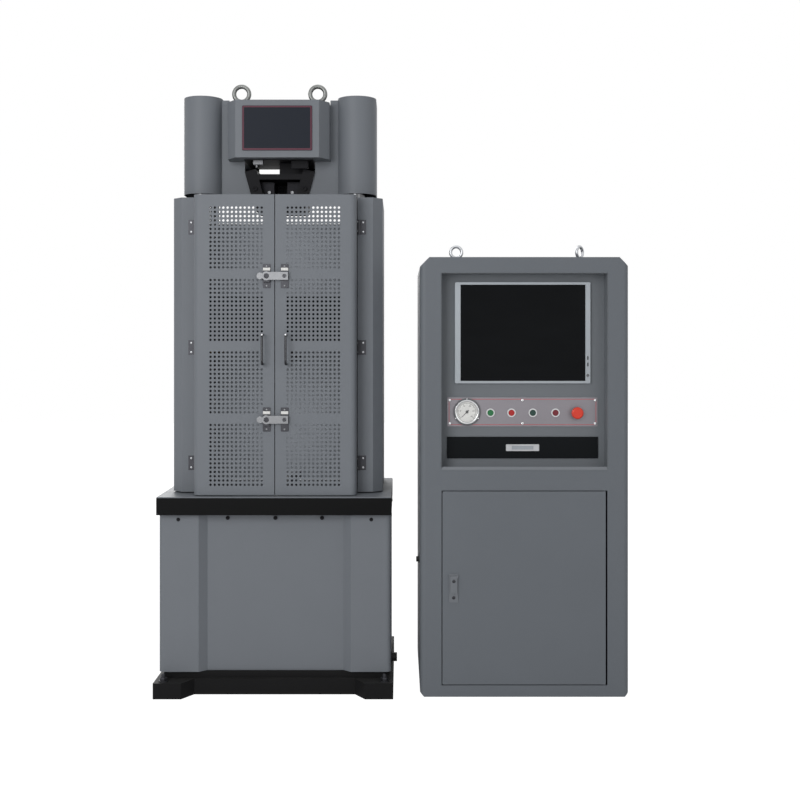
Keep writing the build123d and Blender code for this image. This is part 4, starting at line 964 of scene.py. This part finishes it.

# Instrument recess: a sloping sill strip along its lower edge, in a grey lighter than the cabinet's as painted
# highlight of its lit top
sill = {"height": 0.013, "thick": 0.0015, "tilt": 40, "y": -0.2955, "z": 0.8122, "inset": 0.006,
        "corner": 0.001, "edge": 0.0005}
recessLow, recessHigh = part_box("instrument_panel")
work = bmesh.new()
place = seat("front", ((recessLow.x + recessHigh.x) / 2, sill["y"], sill["z"]))
slab(work, sill, place @ Matrix.Rotation(-radians(sill["tilt"]), 4, "X"),
     width=recessHigh.x - recessLow.x - 2 * sill["inset"])
addWork("recessSill", work, "sillGrey", "base", "grey_paint")

# Lock: key barrels in the plate and in the lever
lock = {"barrel": 0.0062, "rise": 0.0012, "leverZ": 0.413, "plateZ": 0.3535, "plateFront": 0.304}
keySlot = {"width": 0.0016, "height": 0.0066, "thick": 0.0003, "corner": 0.0006, "edge": 0.0001}
lockX = middle("door_lock").x
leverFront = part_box("lock_lever")[0].y
for name, body, front, z in (("leverBarrel", "lever", leverFront, lock["leverZ"]),
                             ("plateBarrel", "hatch", -lock["plateFront"], lock["plateZ"])):
    r = lock["barrel"]
    work = bmesh.new()
    turned(work, ((0, 0), (r, 0), (r, lock["rise"] * 0.7), (r * 0.9, lock["rise"]), (0, lock["rise"])), 28,
           seat("front", (lockX, front, z)))
    addWork(name, work, "hingeDark", body, "plated_steel")
    work = bmesh.new()
    slab(work, keySlot, seat("front", (lockX, front - lock["rise"], z)))
    addWork(name + "Slot", work, "markBlack", body, "needle_black")

# Keys on the sloping top of the keyboard
keys = {"pitch": 0.0188, "size": 0.0162, "rise": 0.0065, "columns": 22, "rows": 6, "backMargin": 0.016,
        "frontHeight": 0.014, "barFrom": 6, "barTo": 11}
boardLow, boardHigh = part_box("keyboard")
boardMiddle = middle("keyboard")
slope = (boardHigh.z - boardLow.z - keys["frontHeight"]) / (boardHigh.y - boardLow.y)
boardTurn = Matrix.Rotation(slope, 4, "X")


def keyCap(width):
    work = bmesh.new()
    loops = []
    for inset, height in ((0, 0), (0.0004, 0.002), (0.0022, keys["rise"] - 0.0008), (0.0032, keys["rise"])):
        outline = roundedOutline(width - 2 * inset, keys["size"] - 2 * inset, 0.0035 - inset * 0.6, 2)
        loops.append([work.verts.new((x, y, height)) for x, y in outline])
    closeLoops(work, loops)
    return toMesh("keyCap", work)


spots = []
for row in range(keys["rows"]):
    y = boardHigh.y - keys["backMargin"] - row * keys["pitch"] - (keys["pitch"] * 0.35 if row else 0)
    z = boardLow.z + keys["frontHeight"] + slope * (y - boardLow.y)
    for column in range(keys["columns"]):
        inBar = row == keys["rows"] - 1 and keys["barFrom"] <= column <= keys["barTo"]
        if not inBar:
            x = boardMiddle.x + (column - (keys["columns"] - 1) / 2) * keys["pitch"]
            spots.append(Matrix.Translation((x, y, z)) @ boardTurn)
setOnSpots("keyCaps", keyCap(keys["size"]), spots, "keyBlack", "drawer", "black_plastic")
barMiddle = boardMiddle.x + ((keys["barFrom"] + keys["barTo"]) / 2 - (keys["columns"] - 1) / 2) * keys["pitch"]
barWidth = (keys["barTo"] - keys["barFrom"]) * keys["pitch"] + keys["size"]
spots = [Matrix.Translation((barMiddle, y, z)) @ boardTurn]
setOnSpots("spaceBar", keyCap(barWidth), spots, "keyBlack", "drawer", "black_plastic")
print("keyboard set")

# Under the upper crosshead: hose block, bracket, the grip's mounting plate and two aprons behind it; the
# mounting plate is a black sheet over the crosshead's underside, painted shade
hoseBlock = {"x": -0.0755, "width": 0.037, "height": 0.0195, "front": -0.118, "thick": 0.026, "corner": 0.002,
             "edge": 0.001, "nipple": 0.006, "nippleDrop": 0.011, "nippleLeft": 0.006, "gap": 0.0001}
hoseBracket = {"x": 0.077, "width": 0.062, "height": 0.032, "thick": 0.013, "corner": 0.003, "edge": 0.001}
gripShadePlate = {"y": -0.03, "width": 0.256, "height": 0.23, "thick": 0.003, "corner": 0.004, "edge": 0.001}
gripApron = {"spots": ((0.0575, 0.145), (-0.132, 0.065)), "y": 0.092, "height": 0.062, "thick": 0.003,
             "corner": 0.003, "edge": 0.001}
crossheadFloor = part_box("upper_crosshead")[0].z - hoseBlock["gap"]


def underCrosshead(work, look, x, y, **own):
    slab(work, look, seat("front", (x, y, crossheadFloor - look["height"] / 2)), **own)


work = bmesh.new()
underCrosshead(work, hoseBlock, hoseBlock["x"], hoseBlock["front"])
r, drop = hoseBlock["nipple"], hoseBlock["nippleDrop"]
nippleY = hoseBlock["front"] - hoseBlock["thick"] / 2
turned(work, ((0, 0), (r, 0), (r, drop * 0.8), (r * 0.7, drop), (0, drop)), 20,
       seat("down", (hoseBlock["x"] - hoseBlock["nippleLeft"], nippleY, crossheadFloor - hoseBlock["height"])))
addWork("hoseBlock", work, "gaugeSteel", "lifting_frame", "plated_steel")
work = bmesh.new()
underCrosshead(work, hoseBracket, hoseBracket["x"], hoseBlock["front"])
# black sheet across the crosshead's underside: painted shade
slab(work, gripShadePlate, seat("down", (0, gripShadePlate["y"], crossheadFloor)))
for x, width in gripApron["spots"]:
    underCrosshead(work, gripApron, x, gripApron["y"], width=width)
addWork("hoseBracket", work, "gripBlack", "lifting_frame", "black_paint")

# Lips that carry the shrouds' wings up to the crosshead's top edge
wingLip = {"x": 0.2035, "y": -0.088, "width": 0.03, "height": 0.018, "thick": 0.003, "corner": 0.002,
           "edge": 0.001}
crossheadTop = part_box("upper_crosshead")[1].z
work = bmesh.new()
for sign in sideSigns.values():
    at = (sign * wingLip["x"], wingLip["y"], crossheadTop + wingLip["height"] / 2)
    slab(work, wingLip, seat("front", at))
addWork("wingLips", work, "frameGrey", "lifting_frame", "grey_paint")

# Air louvres pressed into the backs of the housing and the cabinet
louvre = {"width": 0.11, "height": 0.016, "rise": 0.006, "pitch": 0.03, "steps": 6, "taper": 0.05}
louvreBanks = {
    "cabinet": ((-0.17, 0.52, 10), (0.17, 0.52, 10), (0, 1.42, 8)),
    "housing": ((-0.24, 0.36, 7), (0.24, 0.36, 7)),
}


def louvreHood():
    # a quarter-round hood that narrows a little outwards, flat along its lower edge
    work = bmesh.new()
    half, h, rise = louvre["width"] / 2, louvre["height"], louvre["rise"]
    stations = []
    for k in range(louvre["steps"] + 1):
        a = radians(90 * k / louvre["steps"])
        stations.append((h * cos(a), rise * sin(a)))
    shrink = [half * (1 - louvre["taper"] * k / louvre["steps"]) for k in range(louvre["steps"] + 1)]
    left = [work.verts.new((-x, y, z)) for x, (y, z) in zip(shrink, stations)]
    right = [work.verts.new((x, y, z)) for x, (y, z) in zip(shrink, stations)]
    footLeft = work.verts.new((-half, 0, 0))
    footRight = work.verts.new((half, 0, 0))
    for k in range(louvre["steps"]):
        work.faces.new((left[k], right[k], right[k + 1], left[k + 1]))
    work.faces.new(left + [footLeft])
    work.faces.new(right + [footRight])
    work.faces.new((footLeft, footRight, right[0], left[0]))
    work.faces.new((left[-1], right[-1], footRight, footLeft))
    return toMesh("louvreHood", work)


def setLouvres(place, x, y, finish):
    # each bank is (offset across, height of its top row, rows)
    spots = [seat("back", (x + across, y, top - k * louvre["pitch"]))
             for across, top, rows in louvreBanks[place] for k in range(rows)]
    setOnSpots(place + "Louvres", louvreHood(), spots, finish, "base", "grey_paint")


setLouvres("cabinet", (panelLow.x + panelHigh.x) / 2, panelHigh.y, "cabinetGrey")
setLouvres("housing", 0, coverBack, "frameGrey")
print("louvres and fittings set")

# Stage: a pale floor, a white surround, soft lamps and the camera of the photograph
stage = {"floorHalf": 14, "floorShade": 0.82, "floorGlow": 0.82, "glowPower": 1.25, "surround": 0.36,
         "cameraAt": (0.449, -4.38, 1.252), "horizonPixels": 345, "focalPixels": 1146.4, "imagePixels": 800,
         "sensor": 36}
floorMesh = bpy.data.meshes.new("floor")
edge = stage["floorHalf"]
corners = [(-edge, -edge, 0), (edge, -edge, 0), (edge, edge, 0), (-edge, edge, 0)]
floorMesh.from_pydata(corners, [], [(0, 1, 2, 3)])
floor = stand("floor", floorMesh)
floorLook = Finish("floorPaper", (stage["floorShade"],) * 3, 0.9)
seen = floorLook.add("LightPath", output="Is Camera Ray")
glow = floorLook.add("Emission", {"Color": (1, 1, 1, 1), "Strength": stage["glowPower"]})
matt = Sock(floorLook, floorLook.shader.outputs[0])
paper = floorLook.add("MixShader", {0: seen * stage["floorGlow"], 1: matt, 2: glow})
floorLook.feed(floorLook.tree.nodes["Material Output"].inputs["Surface"], paper)
floorMesh.materials.append(floorLook.material)

world = bpy.data.worlds.new("studio")
scene.world = world
world.use_nodes = True
sky = Graph(world.node_tree)
paths = [sky.add("LightPath", output=ray)
         for ray in ("Is Camera Ray", "Is Glossy Ray", "Is Transmission Ray")]
direct = sky.add("Clamp", {0: paths[0] + paths[1] + paths[2]})
shell = world.node_tree.nodes["Background"]
sky.feed(shell.inputs["Color"], (1, 1, 1, 1))
sky.feed(shell.inputs["Strength"], direct * (1 - stage["surround"]) + stage["surround"])

lamps = {
    "key": {"at": (-1.8, -4.7, 2.3), "aim": (0.3, 0, 0.9), "size": 2.4, "power": 101},
    "fill": {"at": (3.2, -4.4, 2.2), "aim": (0.5, 0, 1.0), "size": 2.6, "power": 21},
    "top": {"at": (0.4, -0.4, 5.0), "aim": (0.4, 0, 0.5), "size": 3.0, "power": 30},
    "back": {"at": (-1.2, 4.8, 3.2), "aim": (0.4, 0, 1.1), "size": 2.6, "power": 105},
    "upperInner": {"at": (0, -0.12, 1.6), "aim": (0, 0.25, 1.6), "size": 0.3, "power": 0.42, "spread": 110},
    "lowerInner": {"at": (0, -0.12, 0.93), "aim": (0, 0.25, 0.93), "size": 0.3, "power": 0.45, "spread": 110},
}
for name, lamp in lamps.items():
    light = bpy.data.lights.new(name, "AREA")
    light.size = lamp["size"]
    light.energy = lamp["power"]
    light.spread = radians(lamp.get("spread", 180))
    holder = stand(name, light)
    holder.location = lamp["at"]
    holder.visible_camera = False
    holder.rotation_euler = (Vector(lamp["aim"]) - Vector(lamp["at"])).to_track_quat("-Z", "Y").to_euler()

camera = bpy.data.cameras.new("camera")
camera.sensor_width = stage["sensor"]
camera.lens = stage["focalPixels"] / stage["imagePixels"] * stage["sensor"]
camera.shift_y = (stage["horizonPixels"] - stage["imagePixels"] / 2) / stage["imagePixels"]
cameraHolder = stand("camera", camera)
cameraHolder.location = stage["cameraAt"]
cameraHolder.rotation_euler = (radians(90), 0, 0)
scene.camera = cameraHolder
scene.view_settings.view_transform = "Standard"
print("stage lit")
